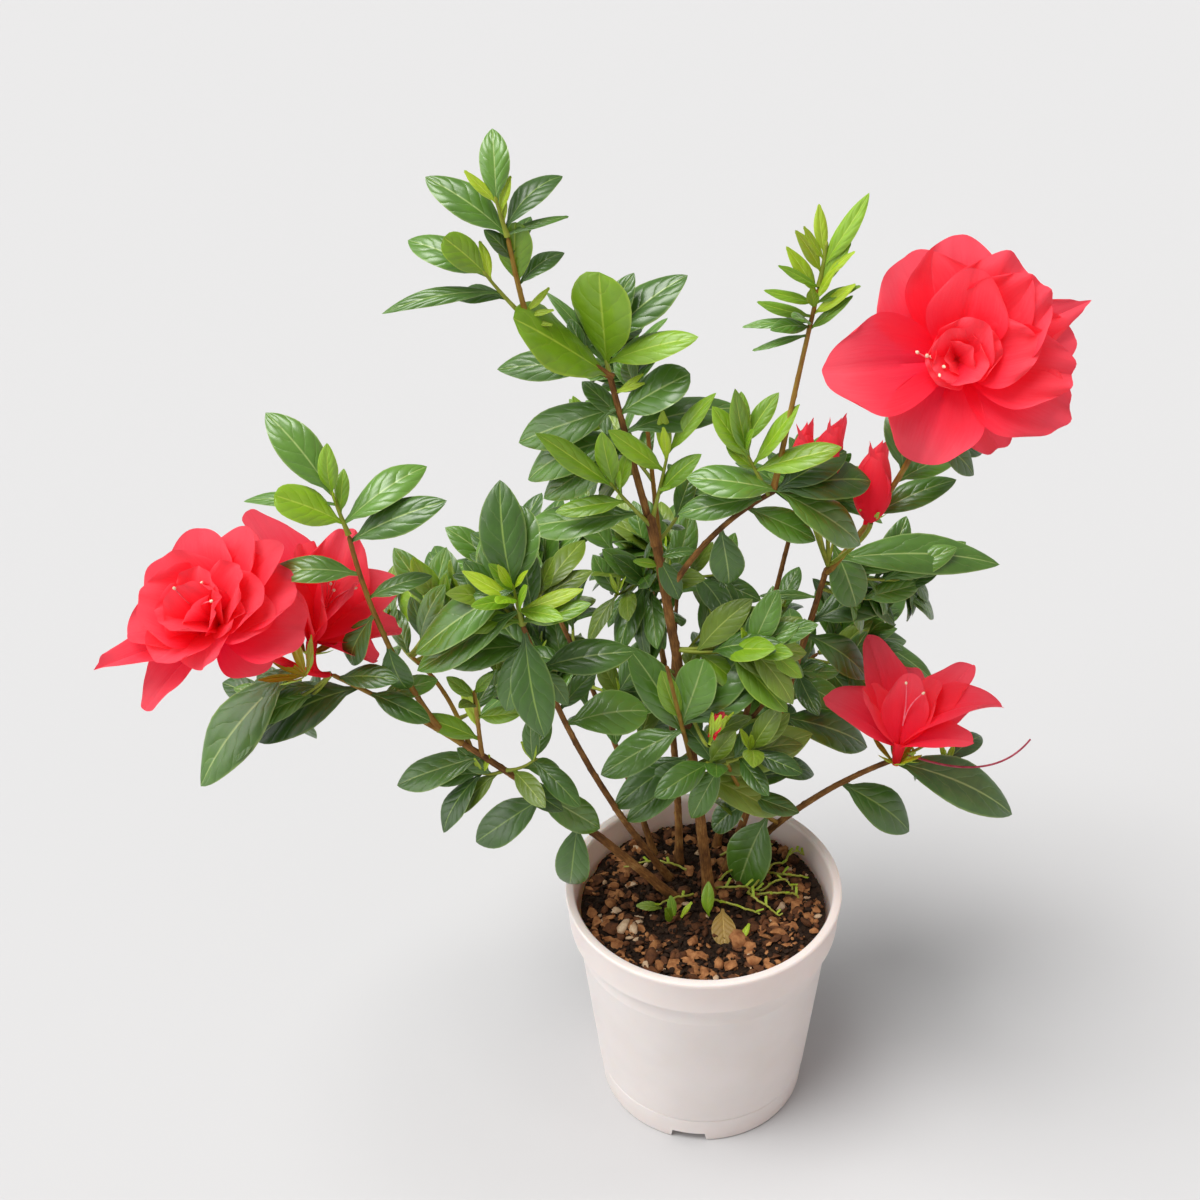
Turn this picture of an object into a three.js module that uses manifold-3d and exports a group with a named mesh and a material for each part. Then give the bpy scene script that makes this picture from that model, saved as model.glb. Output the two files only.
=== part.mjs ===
// An azalea in a white nursery pot, in millimetres, +Z up. The origin is the centre of the pot's flat
// underside. Azimuths are counted from +X towards +Y, rises from the horizontal and leans from the vertical.

import * as THREE from 'three';
import { mergeVertices } from 'three/addons/utils/BufferGeometryUtils.js';
import Module from 'manifold-3d';

const wasm = await Module();
wasm.setup();

// ---------------------------------------------------------------- driving sizes

const POT_HEIGHT = 114;
const RIM_RADIUS = 60;
const FOOT_RADIUS = 46;
const BAND_HEIGHT = 19;
const WALL = 2;
const FLOOR_TOP = 6;
const RECESS = 4;
const SOIL_TOP = POT_HEIGHT - 12;
const GAP = 0.35;

const POT_SEGMENTS = 32;
const LIMB_SIDES = 5;
const WELD = 1e-3;

const NOTCHES = { count: 3, azimuth: 259, width: 18, topWidth: 14.5, height: 5 };
const DRAINS = { count: 4, radius: 4, circle: 26 };

// ---------------------------------------------------------------- small tools

const rad = THREE.MathUtils.degToRad;

function heading(azimuth, rise) {
  const [a, r] = [rad(azimuth), rad(rise)];
  return new THREE.Vector3(Math.cos(r) * Math.cos(a), Math.cos(r) * Math.sin(a), Math.sin(r));
}

// A repeatable stream of numbers between 0 and 1.
function stream(seed) {
  let state = seed >>> 0;
  return () => {
    state = (state + 0x6d2b79f5) >>> 0;
    let t = Math.imul(state ^ (state >>> 15), state | 1);
    t ^= t + Math.imul(t ^ (t >>> 7), t | 61);
    return ((t ^ (t >>> 14)) >>> 0) / 4294967296;
  };
}

// A closed geometry as a solid: shared corners merged, collapsed triangles dropped.
function solidOf(geometry) {
  const bare = new THREE.BufferGeometry();
  bare.setAttribute('position', geometry.getAttribute('position'));
  if (geometry.index) bare.setIndex(geometry.index);
  const merged = mergeVertices(bare, WELD);
  const index = merged.index.array;
  const kept = [];
  for (let i = 0; i < index.length; i += 3) {
    const [a, b, c] = [index[i], index[i + 1], index[i + 2]];
    if (a !== b && b !== c && c !== a) kept.push(a, b, c);
  }
  return new wasm.Manifold(new wasm.Mesh({
    numProp: 3,
    vertProperties: new Float32Array(merged.getAttribute('position').array),
    triVerts: new Uint32Array(kept),
  }));
}

function geometryOf(solid) {
  const mesh = solid.getMesh();
  const geometry = new THREE.BufferGeometry();
  geometry.setAttribute('position', new THREE.BufferAttribute(new Float32Array(mesh.vertProperties), 3));
  geometry.setIndex(new THREE.BufferAttribute(new Uint32Array(mesh.triVerts), 1));
  geometry.computeVertexNormals();
  return geometry;
}

function largestPiece(solid) {
  const pieces = solid.decompose();
  return pieces.reduce((a, b) => (b.volume() > a.volume() ? b : a));
}

function boxesMeet(a, b) {
  const [p, q] = [a.boundingBox(), b.boundingBox()];
  return [0, 1, 2].every((k) => p.min[k] < q.max[k] && q.min[k] < p.max[k]);
}

// A solid with its neighbours cut out of it. Each neighbour is given a little fat, which leaves the gap.
function cutClear(solid, neighbours) {
  let rest = solid;
  for (const neighbour of neighbours) {
    if (boxesMeet(rest, neighbour)) rest = rest.subtract(neighbour);
  }
  return largestPiece(rest);
}

// ---------------------------------------------------------------- finishes

const finishes = {
  pot: { color: 0xeee7e4, roughness: 0.42, metalness: 0 },
  soil: { color: 0x3a2519, roughness: 0.95, metalness: 0 },
  bark: { color: 0x6b4a32, roughness: 0.85, metalness: 0 },
  greenwood: { color: 0x8b8a3a, roughness: 0.7, metalness: 0 },
  leaf: { color: 0x3f6f45, roughness: 0.5, metalness: 0 },
  newleaf: { color: 0x7fae35, roughness: 0.45, metalness: 0 },
  petal: { color: 0xf03f4c, roughness: 0.6, metalness: 0 },
};

const plant = new THREE.Group();

function addPart(name, geometry, finish) {
  const mesh = new THREE.Mesh(geometry, new THREE.MeshStandardMaterial(finishes[finish]));
  mesh.name = name;
  plant.add(mesh);
}

function lathe(profile, segments) {
  const points = profile.map(([r, z]) => new THREE.Vector2(r, z));
  return new THREE.LatheGeometry(points, segments).rotateX(Math.PI / 2);
}

// ---------------------------------------------------------------- pot

// The wall leans out from the foot to the band; this is its outer radius at a height.
const bandFoot = POT_HEIGHT - BAND_HEIGHT;
const wallTop = RIM_RADIUS - 4.6;
const outerRadius = (z) => FOOT_RADIUS + (wallTop - FOOT_RADIUS) * (z / bandFoot);
const innerRadius = (z) => (z > bandFoot ? RIM_RADIUS - 2 * WALL : outerRadius(z) - WALL);

const FOOT_LINE = 14;
const RIDGE_LINE = 84;
const STEP = 0.6;
const potProfile = [
  [0, 0], [15, 0], [17, RECESS], [35, RECESS], [37, 0],
  [FOOT_RADIUS - 1, 0], [FOOT_RADIUS, 1.2],
  [outerRadius(FOOT_LINE) - STEP, FOOT_LINE], [outerRadius(FOOT_LINE), FOOT_LINE + 1],
  [outerRadius(RIDGE_LINE), RIDGE_LINE], [outerRadius(RIDGE_LINE) + STEP, RIDGE_LINE + 1],
  [wallTop + STEP, bandFoot], [RIM_RADIUS - 1.6, bandFoot + 1],
  [RIM_RADIUS - 0.6, POT_HEIGHT - 2.5], [RIM_RADIUS, POT_HEIGHT - 1.8],
  [RIM_RADIUS, POT_HEIGHT - 0.8], [RIM_RADIUS - 0.8, POT_HEIGHT],
  [RIM_RADIUS - 3.2, POT_HEIGHT], [RIM_RADIUS - 4, POT_HEIGHT - 1],
  [RIM_RADIUS - 4.2, bandFoot + 2], [wallTop - WALL, bandFoot - 2],
  [innerRadius(FLOOR_TOP + 3), FLOOR_TOP + 3], [innerRadius(FLOOR_TOP) - 3, FLOOR_TOP], [0, FLOOR_TOP],
];

// A notch is a trapezoid cut right through the foot ring, wider at the ground.
function notchCutter(azimuth) {
  const side = NOTCHES.width / 2;
  const top = NOTCHES.topWidth / 2;
  const below = -1;
  const outline = new THREE.Shape();
  outline.moveTo(-side, below);
  outline.lineTo(side, below);
  outline.lineTo(top, NOTCHES.height);
  outline.lineTo(-top, NOTCHES.height);
  outline.closePath();
  const reach = 18;
  const block = new THREE.ExtrudeGeometry(outline, { depth: reach, bevelEnabled: false });
  block.rotateX(Math.PI / 2).translate(0, FOOT_RADIUS + 5, 0);
  return solidOf(block.rotateZ(rad(azimuth - 90)));
}

function drainCutter(azimuth) {
  const hole = new THREE.CylinderGeometry(DRAINS.radius, DRAINS.radius, 4 * FLOOR_TOP, 12);
  const centre = heading(azimuth, 0).multiplyScalar(DRAINS.circle);
  return solidOf(hole.rotateX(Math.PI / 2).translate(centre.x, centre.y, 0));
}

let pot = solidOf(lathe(potProfile, POT_SEGMENTS));
for (let i = 0; i < NOTCHES.count; i += 1) {
  pot = pot.subtract(notchCutter(NOTCHES.azimuth + (360 * i) / NOTCHES.count));
}
for (let i = 0; i < DRAINS.count; i += 1) {
  pot = pot.subtract(drainCutter(45 + (360 * i) / DRAINS.count));
}
addPart('pot', geometryOf(pot), 'pot');

// ---------------------------------------------------------------- potting mix

// A plug that fills the pot, with a lumpy top that dips below the level of the stems' feet.
function soilSolid() {
  const dip = 2.5;
  const low = FLOOR_TOP + GAP;
  const corner = FLOOR_TOP + 4;
  const edge = innerRadius(SOIL_TOP) - 2.5;
  const profile = [
    [0, low], [innerRadius(corner) - 4 - GAP, low], [innerRadius(corner) - GAP, corner],
    [innerRadius(bandFoot - 3) - GAP, bandFoot - 3], [edge, SOIL_TOP - 3],
    [edge * 0.75, SOIL_TOP], [edge * 0.4, SOIL_TOP], [0, SOIL_TOP],
  ];
  const geometry = lathe(profile, POT_SEGMENTS);
  const place = geometry.getAttribute('position');
  for (let i = 0; i < place.count; i += 1) {
    if (place.getZ(i) < SOIL_TOP - 1) continue;
    const lump = 0.5 + 0.5 * Math.sin(place.getX(i) * 0.37 + 1) * Math.cos(place.getY(i) * 0.31 + 2);
    place.setZ(i, SOIL_TOP - dip * lump);
  }
  return solidOf(geometry);
}
addPart('soil', geometryOf(soilSolid()), 'soil');

// ---------------------------------------------------------------- stems and boughs

// A stem has a foot on the soil; a bough starts on the axis of the limb it grows on, at a share of its
// length. sway bends the middle of the limb off its chord.
const limbs = [
  { name: 'main_stem', foot: [3, 5], azimuth: 181, lean: 7, length: 198, sway: [2, 0, 0],
    base: 2.9, tip: 2 },
  { name: 'leader', on: 'main_stem', at: 0.93, azimuth: 150, lean: 15, length: 71, base: 1.8, tip: 1.3 },
  { name: 'top_bough', on: 'leader', at: 0.97, azimuth: 199, lean: 47, length: 43, base: 1.3, tip: 1.1 },
  { name: 'top_shoot', on: 'top_bough', at: 0.97, azimuth: 222, lean: 12, length: 34, base: 1.1, tip: 0.8 },
  { name: 'right_bough', on: 'main_stem', at: 0.8, azimuth: -17, lean: 37, length: 70, sway: [-3, 0, 4],
    base: 1.6, tip: 1.1 },
  { name: 'spike', on: 'right_bough', at: 0.98, azimuth: 0, lean: 9, length: 80, base: 1.2, tip: 0.8 },
  { name: 'right_stem', foot: [13, 24], azimuth: 6, lean: 14, length: 160, sway: [1, 0, 1],
    base: 2.2, tip: 1.4 },
  { name: 'bloom_stalk', on: 'right_stem', at: 0.98, azimuth: -49, lean: 27, length: 98, sway: [2, 0, -2],
    base: 1.4, tip: 1.1 },
  { name: 'low_right_stem', foot: [21, 31], azimuth: -21, lean: 42, length: 95, sway: [-3, 0, 4],
    base: 1.9, tip: 1.2 },
  { name: 'left_stem', foot: [-12, 3], azimuth: 200, lean: 38, length: 149, sway: [2, 0, 2],
    base: 2.5, tip: 1.4 },
  { name: 'left_flower_stalk', on: 'left_stem', at: 0.98, azimuth: 185, lean: 50, length: 60,
    sway: [0, 0, 1], base: 1.3, tip: 1 },
  { name: 'left_upright', on: 'left_flower_stalk', at: 0.17, azimuth: 197, lean: 15, length: 98,
    sway: [-4, 0, -1], base: 1.4, tip: 0.9 },
  { name: 'left_second', on: 'left_stem', at: 0.94, azimuth: 140, lean: 41, length: 44, sway: [2, 0, 4],
    base: 1.1, tip: 0.8 },
  { name: 'mid_left_stem', foot: [-14, 17], azimuth: 226, lean: 24, length: 196, sway: [-5, 0, -2],
    base: 2, tip: 1.1 },
  { name: 'back_stem', foot: [-9, 27], azimuth: 128, lean: 8, length: 152, sway: [4, 0, 0],
    base: 2, tip: 1.2 },
  { name: 'front_shoot', on: 'main_stem', at: 0.36, azimuth: 236, lean: 18, length: 72,
    base: 1.3, tip: 0.9 },
  { name: 'low_left_shoot', on: 'left_stem', at: 0.9, azimuth: 266, lean: 12, length: 40,
    base: 1.1, tip: 0.8 },
  { name: 'low_right_shoot', on: 'low_right_stem', at: 0.28, azimuth: 226, lean: 33, length: 70,
    sway: [-2, 0, -4], base: 1.2, tip: 0.8 },
  { name: 'back_left_stem', foot: [-20, 33], azimuth: 156, lean: 20, length: 138, sway: [2, 2, 2],
    base: 1.9, tip: 1.1 },
  { name: 'back_right_stem', foot: [9, 38], azimuth: 42, lean: 16, length: 165, sway: [0, 3, 0],
    base: 2, tip: 1.2 },
  { name: 'back_bough', on: 'back_stem', at: 0.5, azimuth: 82, lean: 34, length: 70, sway: [0, 2, -2],
    base: 1.3, tip: 0.9 },
  { name: 'back_low_bough', on: 'back_right_stem', at: 0.35, azimuth: 20, lean: 50, length: 48,
    sway: [0, 0, 3], base: 1.2, tip: 0.8 },
  { name: 'back_leader', on: 'main_stem', at: 0.8, azimuth: 98, lean: 34, length: 78, sway: [0, 3, -2],
    base: 1.4, tip: 0.9 },
];

// A closed body through rings of equal count, with a corner in the middle of each end.
function ringBody(rings) {
  const sides = rings[0].length;
  const points = rings.flat();
  const middle = (ring) => ring.reduce((sum, p) => sum.add(p), new THREE.Vector3()).divideScalar(sides);
  const first = points.push(middle(rings[0])) - 1;
  const last = points.push(middle(rings.at(-1))) - 1;
  const triangles = [];
  rings.slice(1).forEach((_, k) => {
    for (let i = 0; i < sides; i += 1) {
      const j = (i + 1) % sides;
      const [a, b, c, d] = [k * sides + i, k * sides + j, (k + 1) * sides + j, (k + 1) * sides + i];
      triangles.push(a, b, c, a, c, d);
    }
  });
  const top = (rings.length - 1) * sides;
  for (let i = 0; i < sides; i += 1) {
    const j = (i + 1) % sides;
    triangles.push(first, j, i, last, top + i, top + j);
  }
  const geometry = new THREE.BufferGeometry();
  const places = points.flatMap((p) => [p.x, p.y, p.z]);
  geometry.setAttribute('position', new THREE.Float32BufferAttribute(places, 3));
  geometry.setIndex(triangles);
  return solidOf(geometry);
}

const curves = new Map();

function limbCurve(limb) {
  const start = limb.foot
    ? new THREE.Vector3(limb.foot[0], limb.foot[1], SOIL_TOP + GAP)
    : curves.get(limb.on).getPoint(limb.at);
  const end = start.clone().addScaledVector(heading(limb.azimuth, 90 - limb.lean), limb.length);
  const bend = new THREE.Vector3(...(limb.sway ?? [0, 0, 0])).multiplyScalar(2);
  const middle = start.clone().add(end).multiplyScalar(0.5).add(bend);
  return new THREE.QuadraticBezierCurve3(start, middle, end);
}

// The limb tapers evenly; a stem also flares over its lowest few millimetres and is cut level there.
function limbSolid(limb, fat) {
  const curve = curves.get(limb.name);
  const flareHeight = 6;
  const low = limb.foot ? [0, flareHeight / limb.length, (3 * flareHeight) / limb.length] : [0, 0.15];
  const stations = [...low, 0.35, 0.6, 0.8, 1];
  const rings = stations.map((t) => {
    const centre = curve.getPoint(t);
    const along = curve.getTangent(t);
    if (fat && t === 0) centre.addScaledVector(along, -fat);
    if (fat && t === 1) centre.addScaledVector(along, fat);
    const flare = limb.foot ? 1 + 0.6 * Math.exp((-t * limb.length) / flareHeight) : 1;
    const radius = THREE.MathUtils.lerp(limb.base, limb.tip, t) * flare + fat;
    const side = new THREE.Vector3(0, 1, 0).cross(along).normalize();
    const other = along.clone().cross(side);
    return Array.from({ length: LIMB_SIDES }, (_, i) => {
      const turn = (2 * Math.PI * i) / LIMB_SIDES;
      const point = centre.clone();
      point.addScaledVector(side, radius * Math.cos(turn)).addScaledVector(other, radius * Math.sin(turn));
      if (limb.foot && t === 0) point.addScaledVector(along, (centre.z - point.z) / along.z);
      return point;
    });
  });
  return ringBody(rings);
}

const fatLimbs = [];
for (const limb of limbs) {
  curves.set(limb.name, limbCurve(limb));
  const solid = cutClear(limbSolid(limb, 0), fatLimbs);
  addPart(limb.name, geometryOf(solid), limb.tip < 1 ? 'greenwood' : 'bark');
  fatLimbs.push(limbSolid(limb, GAP));
}

// ---------------------------------------------------------------- masses of leaves and blossom

// Each mass is an uneven ellipsoid with points drawn out to its furthest leaves or petals. half is its
// half size along X, Y and Z, and each reach is an azimuth, a rise and a distance from its centre. grain is
// how finely its skin is divided.
const masses = [
  { name: 'top_leaves', centre: [-74, -3, 415], half: [20, 16, 21], finish: 'leaf',
    reaches: [[75, 82, 34], [15, 42, 31], [187, 52, 30], [210, 8, 28], [192, -26, 44], [15, 4, 27],
      [285, 20, 24]] },
  { name: 'upper_leaves', centre: [-36, 6, 366], half: [23, 20, 18], finish: 'newleaf',
    reaches: [[215, 32, 40], [265, 60, 36], [26, 34, 38], [-7, 12, 34], [-27, -9, 31], [186, -11, 39],
      [125, 44, 34]] },
  { name: 'spike_leaves', centre: [34, -8, 392], half: [11, 11, 20], finish: 'newleaf',
    reaches: [[18, 60, 37], [213, 62, 21], [0, 15, 13], [195, -16, 25], [190, -40, 27], [80, 20, 20]] },
  { name: 'large_bloom', centre: [83, -22, 376], half: [34, 16, 34], finish: 'petal',
    reaches: [[187, -6, 45], [235, -72, 40], [6, -30, 54], [16, 13, 49], [110, 76, 42], [20, 48, 44],
      [190, 50, 38], [270, -5, 30]] },
  { name: 'bloom_buds', centre: [56, 6, 312], half: [15, 13, 20], grain: 1, finish: 'petal',
    reaches: [[150, 60, 26], [320, -50, 24], [40, 30, 18]] },
  { name: 'outer_bloom', centre: [-176, -50, 290], half: [26, 20, 19], finish: 'petal',
    reaches: [[180, -18, 42], [205, -44, 39], [169, 10, 29], [44, 52, 42], [9, 38, 38], [270, 10, 24]] },
  { name: 'inner_bloom', centre: [-134, -16, 284], half: [18, 17, 22], finish: 'petal',
    reaches: [[0, -14, 24], [16, 46, 28], [165, 56, 32], [202, -66, 34], [90, 10, 22]] },
  { name: 'low_bloom', centre: [86, 2, 212], half: [24, 20, 15], finish: 'petal',
    reaches: [[166, 54, 34], [188, 0, 37], [23, 28, 24], [0, -5, 36], [240, 20, 26], [80, 24, 28]] },
  { name: 'upright_leaves', centre: [-134, -38, 338], half: [17, 15, 15], finish: 'leaf',
    reaches: [[180, 64, 33], [0, 14, 37], [-7, 3, 42], [190, -2, 30], [227, 24, 24], [90, 20, 26],
      [30, -40, 28]] },
  { name: 'outer_leaves', centre: [-160, -46, 244], half: [28, 14, 12], finish: 'leaf',
    reaches: [[193, -27, 49], [228, 30, 24], [180, 45, 24], [7, 15, 44], [80, 0, 26]] },
  { name: 'left_middle_leaves', centre: [-98, -2, 258], half: [20, 16, 15], grain: 1, finish: 'leaf',
    reaches: [[175, 5, 27], [0, 10, 26], [90, 20, 24]] },
  { name: 'bright_leaves', centre: [-70, -44, 290], half: [25, 21, 21], finish: 'newleaf',
    reaches: [[75, 73, 36], [189, -15, 33], [173, -22, 44], [9, 4, 32], [243, -54, 38], [316, -37, 28]] },
  { name: 'low_left_leaves', centre: [-82, -40, 216], half: [30, 24, 21], finish: 'leaf',
    reaches: [[195, 0, 41], [240, -42, 32], [328, -62, 64], [6, -38, 52], [-10, 49, 42], [180, 78, 42]] },
  { name: 'front_leaves', centre: [-6, -20, 197], half: [30, 22, 27], finish: 'leaf',
    reaches: [[213, -9, 40], [187, 6, 40], [323, -70, 54], [0, 13, 50], [0, -34, 46], [180, 68, 50]] },
  { name: 'right_middle_leaves', centre: [16, -6, 238], half: [18, 17, 19], grain: 1, finish: 'leaf',
    reaches: [[20, 20, 26], [250, 30, 25]] },
  { name: 'bough_leaves', centre: [24, -8, 320], half: [24, 19, 17], finish: 'leaf',
    reaches: [[200, 18, 36], [180, -20, 38], [200, 68, 34], [-15, 11, 38], [331, -24, 42], [228, -54, 42],
      [344, -56, 32]] },
  { name: 'right_leaves', centre: [64, 22, 248], half: [24, 20, 18], finish: 'leaf',
    reaches: [[0, 10, 60], [259, -6, 24], [284, -58, 36], [187, -2, 44], [90, 10, 26]] },
  { name: 'low_right_leaves', centre: [102, 5, 160], half: [24, 15, 12], finish: 'leaf',
    reaches: [[-7, -11, 43], [235, -28, 27], [173, 14, 36], [60, 10, 26]] },
  { name: 'middle_leaves', centre: [-42, 22, 312], half: [28, 21, 21], finish: 'leaf',
    reaches: [[190, 17, 32], [223, 14, 38], [217, -25, 37], [0, 23, 50], [10, 20, 60], [270, -28, 28],
      [150, 10, 30]] },
  { name: 'inner_leaves', centre: [-27, 28, 246], half: [32, 20, 27], grain: 1, finish: 'leaf',
    reaches: [[180, 20, 38], [0, 25, 38], [250, 40, 32]] },
  { name: 'back_top_leaves', centre: [-32, 56, 334], half: [24, 20, 19], grain: 1, finish: 'leaf',
    reaches: [[90, 20, 32], [150, 40, 30], [40, 30, 30], [0, -10, 30]] },
  { name: 'back_left_leaves', centre: [-68, 56, 240], half: [26, 21, 21], finish: 'leaf',
    reaches: [[120, 15, 36], [175, 5, 34], [90, -30, 30], [60, 40, 30]] },
  { name: 'back_right_leaves', centre: [46, 62, 268], half: [25, 20, 22], finish: 'leaf',
    reaches: [[40, 20, 34], [0, 5, 32], [120, 0, 32], [60, -40, 30]] },
  { name: 'back_middle_leaves', centre: [-18, 76, 232], half: [28, 20, 22], finish: 'leaf',
    reaches: [[100, 15, 34], [180, 0, 36], [0, 5, 36], [80, -40, 32]] },
  { name: 'back_low_leaves', centre: [62, 62, 196], half: [28, 20, 16], grain: 1, finish: 'leaf',
    reaches: [[60, 5, 36], [0, 0, 40], [130, -10, 34]] },
  { name: 'back_low_left_leaves', centre: [-60, 52, 190], half: [28, 18, 14], grain: 1, finish: 'leaf',
    reaches: [[150, 5, 40], [190, -5, 36], [100, -5, 34]] },
];

const UNEVEN = 0.045;
const SHARPNESS = 16;

function massSolid(mass, seed, fat) {
  const next = stream(seed);
  const waves = Array.from({ length: 4 }, () => {
    const axis = new THREE.Vector3(next() - 0.5, next() - 0.5, next() - 0.5).normalize();
    return { axis, pitch: 6 + 6 * next(), shift: 6 * next() };
  });
  const [a, b, c] = mass.half;
  const points = mass.reaches.map(([azimuth, rise, far]) => ({ aim: heading(azimuth, rise), far }));
  const grain = mass.grain ?? 2;
  const facets = new THREE.IcosahedronGeometry(1, grain).deleteAttribute('normal').deleteAttribute('uv');
  const ball = mergeVertices(facets);
  const place = ball.getAttribute('position');
  const ray = (i) => new THREE.Vector3().fromBufferAttribute(place, i);
  const rays = Array.from({ length: place.count }, (_, i) => ray(i));
  const turned = new Map();
  for (const { aim, far } of points) {
    const best = rays.reduce((p, q) => (q.dot(aim) > p.dot(aim) ? q : p));
    turned.set(best, { aim, far });
  }
  rays.forEach((ray, i) => {
    const aim = ray.clone().normalize();
    let radius = 1 / Math.hypot(aim.x / a, aim.y / b, aim.z / c);
    for (const wave of waves) radius *= 1 + UNEVEN * Math.sin(wave.pitch * aim.dot(wave.axis) + wave.shift);
    const smooth = radius;
    for (const point of points) {
      const share = Math.max(0, aim.dot(point.aim)) ** SHARPNESS;
      radius = Math.max(radius, smooth + (point.far - smooth) * share);
    }
    const tip = turned.get(ray);
    const end = tip ? tip.aim.clone().multiplyScalar(tip.far + fat) : aim.multiplyScalar(radius + fat);
    place.setXYZ(i, mass.centre[0] + end.x, mass.centre[1] + end.y, mass.centre[2] + end.z);
  });
  return solidOf(ball);
}

const MASS_GAP = 0.8;
const FIRST_SEED = 100;
const fatMasses = [];
masses.forEach((mass, i) => {
  const seed = FIRST_SEED + i;
  const solid = cutClear(massSolid(mass, seed, 0), [...fatLimbs, ...fatMasses]);
  addPart(mass.name, geometryOf(solid), mass.finish);
  fatMasses.push(massSolid(mass, seed, MASS_GAP));
});

export default plant;
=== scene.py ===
# %% [markdown]
# # Azalea shrub in a white nursery pot
# A young azalea is a handful of woody stems that fork, end in whorls of leaves, and carry a few very
# large double flowers. The CAD model holds the pot, the stems and the masses that foliage and blossom
# fill. This script keeps that frame and grows the real surfaces inside it: moulded plastic, bark,
# leaves and petals. First the frame is loaded, and its box is kept to compare with at the end.

# %% Load the frame
import math

import bpy
import numpy as np
from mathutils import Matrix, Vector


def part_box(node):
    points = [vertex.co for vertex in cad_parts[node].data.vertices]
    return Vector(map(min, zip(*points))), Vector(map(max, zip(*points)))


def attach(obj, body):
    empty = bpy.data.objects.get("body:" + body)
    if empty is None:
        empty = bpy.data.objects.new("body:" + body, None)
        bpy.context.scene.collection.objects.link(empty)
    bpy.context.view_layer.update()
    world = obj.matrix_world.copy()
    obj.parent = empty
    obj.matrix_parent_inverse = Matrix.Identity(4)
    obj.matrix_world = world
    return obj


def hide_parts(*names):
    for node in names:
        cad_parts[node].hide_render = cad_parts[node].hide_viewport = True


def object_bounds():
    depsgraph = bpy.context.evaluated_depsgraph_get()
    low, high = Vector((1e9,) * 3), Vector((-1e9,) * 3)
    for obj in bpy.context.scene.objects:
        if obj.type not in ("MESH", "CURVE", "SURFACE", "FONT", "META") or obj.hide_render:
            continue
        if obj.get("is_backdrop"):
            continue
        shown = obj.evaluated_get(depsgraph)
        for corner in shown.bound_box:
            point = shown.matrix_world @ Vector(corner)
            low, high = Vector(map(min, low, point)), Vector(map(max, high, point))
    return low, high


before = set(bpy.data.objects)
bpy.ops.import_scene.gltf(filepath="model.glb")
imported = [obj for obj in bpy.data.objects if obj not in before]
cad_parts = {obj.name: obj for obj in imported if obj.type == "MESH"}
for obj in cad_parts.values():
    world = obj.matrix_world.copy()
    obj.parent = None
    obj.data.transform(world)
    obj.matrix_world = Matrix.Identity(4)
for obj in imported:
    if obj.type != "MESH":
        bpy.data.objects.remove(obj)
cad_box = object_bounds()
MM = 0.001
print("CAD box in mm:", [[round(c / MM) for c in corner] for corner in cad_box])

# %% [markdown]
# ## Camera
# The plant is looked at from in front and above, as one looks down at a pot on a low table. A long
# lens flattens it a little. The camera is turned about its own axis by less than two degrees, so the
# turn is multiplied in before the tilt.

# %% Camera
LOOK_DOWN = 33.94
ROLL = -1.84
CAMERA_PLACE = (-0.0408, -0.5438, 0.6298)


def put(name, data):
    """A new object in the scene that holds the data."""
    made = bpy.data.objects.new(name, data)
    bpy.context.collection.objects.link(made)
    return made


lens = bpy.data.cameras.new("camera")
lens.lens = 51
lens.sensor_width = 36
camera = put("camera", lens)
tilt = Matrix.Rotation(math.radians(90 - LOOK_DOWN), 4, "X")
turn = Matrix.Rotation(math.radians(ROLL), 4, "Z")
camera.matrix_world = Matrix.Translation(CAMERA_PLACE) @ tilt @ turn
bpy.context.scene.camera = camera
bpy.context.scene.view_settings.view_transform = "Standard"
print("camera at", [round(c, 3) for c in camera.location])

# %% [markdown]
# ## Colours and nodes
# Paint shops and plant charts give colours as sRGB hex values, while shaders mix light in linear
# values, so one function turns the first into the second. A second small function adds any shader
# node with its settings and its links, which keeps each material below as short as its idea.


# %% Colour and node helpers
def linear(hex_colour):
    """An sRGB hex colour as a linear RGBA tuple."""
    parts = [int(hex_colour[i : i + 2], 16) / 255 for i in (1, 3, 5)]
    return tuple(p / 12.92 if p <= 0.04045 else ((p + 0.055) / 1.055) ** 2.4 for p in parts) + (1.0,)


def feed(tree, made, **inputs):
    """Gives a node's inputs their values, or a link where the value is another node's output."""
    for name, value in inputs.items():
        key = int(name[1:]) if name[0] == "i" and name[1:].isdigit() else name.replace("_", " ")
        if isinstance(value, bpy.types.NodeSocket):
            tree.links.new(value, made.inputs[key])
        else:
            made.inputs[key].default_value = value


def node(tree, kind, settings=None, **inputs):
    """Adds a node. Settings are its properties, and the rest are its inputs."""
    made = tree.nodes.new(kind)
    for name, value in (settings or {}).items():
        setattr(made, name, value)
    feed(tree, made, **inputs)
    return made


def maths(tree, operation, *values):
    """The result of a Math node. Each value is a number or an output."""
    inputs = {f"i{k}": value for k, value in enumerate(values)}
    return node(tree, "ShaderNodeMath", {"operation": operation}, **inputs).outputs[0]


def remap(tree, value, from_min, from_max, to_min, to_max):
    """A value carried over from one range to another."""
    made = node(tree, "ShaderNodeMapRange", Value=value, From_Min=from_min, From_Max=from_max)
    feed(tree, made, To_Min=to_min, To_Max=to_max)
    return made.outputs["Result"]


def mottle(tree, scale, detail, roughness=0.5):
    """Cloudy noise fixed to the object, with scale spots to the metre."""
    place = node(tree, "ShaderNodeTexCoord").outputs["Object"]
    noise = node(tree, "ShaderNodeTexNoise", Vector=place, Scale=scale, Detail=detail, Roughness=roughness)
    return noise.outputs["Fac"]


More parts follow.
